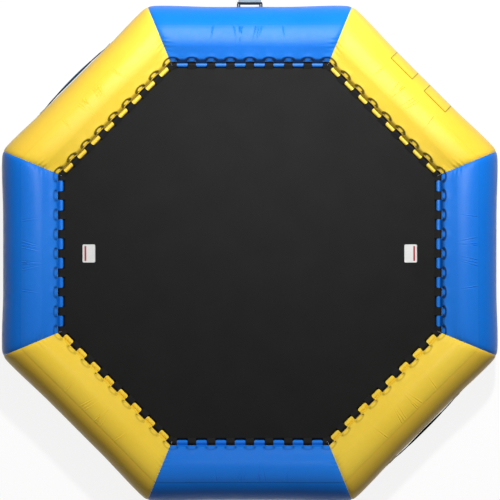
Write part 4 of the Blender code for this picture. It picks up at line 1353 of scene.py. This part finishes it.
# Boarding ladder: a patch is welded low on the top tube's outer side, and two webbing straps hang
# from it and carry three foam covered steps, each a ribbed grey tread behind a round black nose
# bar. The straps fold where they leave the tube and below each step.
LADDER_ANGLES = (math.radians(-28.1), math.radians(-5.6))
LADDER_PATCH_LENGTH = 0.30
LADDER_PATCH_CORNER = 0.02
LADDER_STRAPS = (("left", -0.1035), ("right", 0.1035))
LADDER_STRAP_WIDTH = 0.031
LADDER_STRIPE = (0.0040, (0.34, 0.37, 0.41, 1.0))
TAIL_ANGLES = (math.radians(-12.4), math.radians(-26.0))
STEP_WIDTH = 0.210
STEP_HALF_THICKNESS = 0.0128
STEP_ROUNDING = 0.005
RIB_HEIGHT = 0.0014
RIB_PITCH = 0.009
NOSE_LENGTH = 0.234
NOSE_RADIUS = 0.0125
NOSE_BOW = 0.0025
TREAD_GREY = (0.235, 0.300, 0.380, 1.0)
TREAD_GREY_PALE = (0.300, 0.365, 0.445, 1.0)
NOSE_BLACK = (0.006, 0.009, 0.016, 1.0)
NOSE_BLACK_PALE = (0.012, 0.016, 0.026, 1.0)
LADDER_BLACK = (0.004, 0.005, 0.009, 1.0)
LADDER_BLACK_PALE = (0.008, 0.010, 0.016, 1.0)
STRAP_START = 0.0006
STRAP_TUCK = 0.004
LADDER_SECTIONS = (
    ("upper", (2.28392, -0.16462), 35.0, 0.066, 0.148),
    ("middle", (2.36955, -0.28692), 73.16, 0.180, 0.270),
    ("lower", (2.62922, -0.36552), 90.0, 0.180, 0.270),
)

ladder_webbing = woven(
    "ladder_webbing",
    LADDER_BLACK,
    LADDER_BLACK_PALE,
    WEB_THREADS,
    WEB_ROUGHNESS,
    relief=WEB_RELIEF,
    shine=0.15,
    stripe=LADDER_STRIPE,
)
tread_foam = foam_skin("grey_step_foam", TREAD_GREY, TREAD_GREY_PALE, 0.60, 24.0, 0.25)
nose_foam = foam_skin("black_nose_foam", NOSE_BLACK, NOSE_BLACK_PALE, 0.50, 24.0, 0.3)

patch, patch_run = weld_patch(
    "ladder_weld_patch",
    2,
    LADDER_ANGLES,
    LADDER_PATCH_LENGTH,
    black_vinyl,
    cuts=(20, 40),
    corner=LADDER_PATCH_CORNER,
)
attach(patch, "ring")
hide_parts("ladder_patch")


def ladder_strap(name, line, cuts, matrix, place, material):
    """A webbing strap laid along a line at a place across the ladder, and its length."""
    strap = flat_sheet(name, cuts, 4, WEB_THICKNESS)
    run = lay_sheet(strap, line, LADDER_STRAP_WIDTH)
    strap.data.transform(matrix @ Matrix.Translation((0, -place, 0)))
    strap.data.materials.append(material)
    return strap, run


tail_line = [LADDER_SECTIONS[0][1]] + arc_points(TUBE_MIDDLE, WEB_REACH, *TAIL_ANGLES, 20)
for end, place in LADDER_STRAPS:
    tail, tail_run = ladder_strap(
        "ladder_strap_tail_" + end, tail_line, 30, side_turn(2), place, webbing
    )
    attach(tail, "ring")


def rounded_tread(name, start, stop):
    """Ribbed foam tread of a step, in the section's own frame: down the ladder, across, outward."""
    tread = flat_sheet(name, 32, 60, 1.0)
    places = places_of(tread)
    on_top = places[:, 2] > -0.5
    length = stop - start - NOSE_RADIUS
    down, across = (places[:, 0] + 0.5) * length, places[:, 1] * STEP_WIDTH
    edge = np.minimum(length - down, STEP_WIDTH / 2 - np.abs(across))
    short = np.clip(STEP_ROUNDING - edge, 0, STEP_ROUNDING)
    round_off = STEP_ROUNDING - np.sqrt(STEP_ROUNDING**2 - short**2)
    ribs = RIB_HEIGHT * (np.abs(np.sin(down * math.pi / RIB_PITCH)) ** 0.7 - 1) * on_top
    height = np.where(on_top, 1, -1) * (STEP_HALF_THICKNESS - round_off) + ribs
    put_places(tread, np.stack([start + NOSE_RADIUS + down, across, height], axis=1))
    finish_shape(math.radians(50.0))
    return tread


def nose_bar(name, start):
    """Round foam bar along a step's near edge, bowed a little toward the tube."""
    nose = foam_bar(name, 24, 39, (0.4,))
    places = places_of(nose)
    share = np.abs(places[:, 1]) * 2
    radius = NOSE_RADIUS * round_end(share, 0.94, 0.62)
    down = start + NOSE_RADIUS + NOSE_BOW * (share**2 - 1) + places[:, 0] * radius
    up = places[:, 2] * radius * 1.02
    put_places(nose, np.stack([down, places[:, 1] * NOSE_LENGTH, up], axis=1))
    finish_shape()
    return nose


for section, fold, lean, strap_length, step_end in LADDER_SECTIONS:
    lean = math.radians(lean)
    section_turn = Matrix(
        (
            (0, -1, 0, 0),
            (math.sin(lean), 0, math.cos(lean), fold[0]),
            (-math.cos(lean), 0, math.sin(lean), fold[1]),
            (0, 0, 0, 1),
        )
    )
    tread = rounded_tread("step_tread_" + section, strap_length, step_end)
    nose = nose_bar("step_nose_" + section, strap_length)
    for item, foam in ((tread, tread_foam), (nose, nose_foam)):
        item.data.transform(section_turn)
        item.data.materials.append(foam)
        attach(item, "ladder_" + section)
        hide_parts("ladder_step_" + section)
    middle = WEB_THICKNESS / 2
    line = [(run, middle) for run in (STRAP_START, strap_length * 0.5, strap_length + STRAP_TUCK)]
    for end, place in LADDER_STRAPS:
        name = "ladder_webbing_" + section + "_" + end
        strap, strap_run = ladder_strap(name, line, 24, section_turn, place, ladder_webbing)
        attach(strap, "ladder_" + section)
        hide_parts("ladder_strap_" + section + "_" + end)

# Label panels: two long blank panels of thin yellow vinyl lie side by side on the upper right
# tube's outer shoulder, glued down all over. Nothing is printed on them.
LABEL_ANGLES = (math.radians(14.0), math.radians(51.0))
LABEL_LENGTH = 0.281
LABEL_PLACE = 0.2145
LABEL_CORNER = 0.004
LABEL_RIM = 0.0075

# Each panel's colour darkens fully in a band LABEL_RIM wide along its edges.
for end, place in (("a", -LABEL_PLACE), ("b", LABEL_PLACE)):
    label, label_run = weld_patch(
        "label_panel_" + end,
        1,
        LABEL_ANGLES,
        LABEL_LENGTH,
        vinyls["yellow"],
        place,
        cuts=(56, 90),
        corner=LABEL_CORNER,
        rim=1.0,
        rim_width=LABEL_RIM,
    )
    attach(label, "ring")
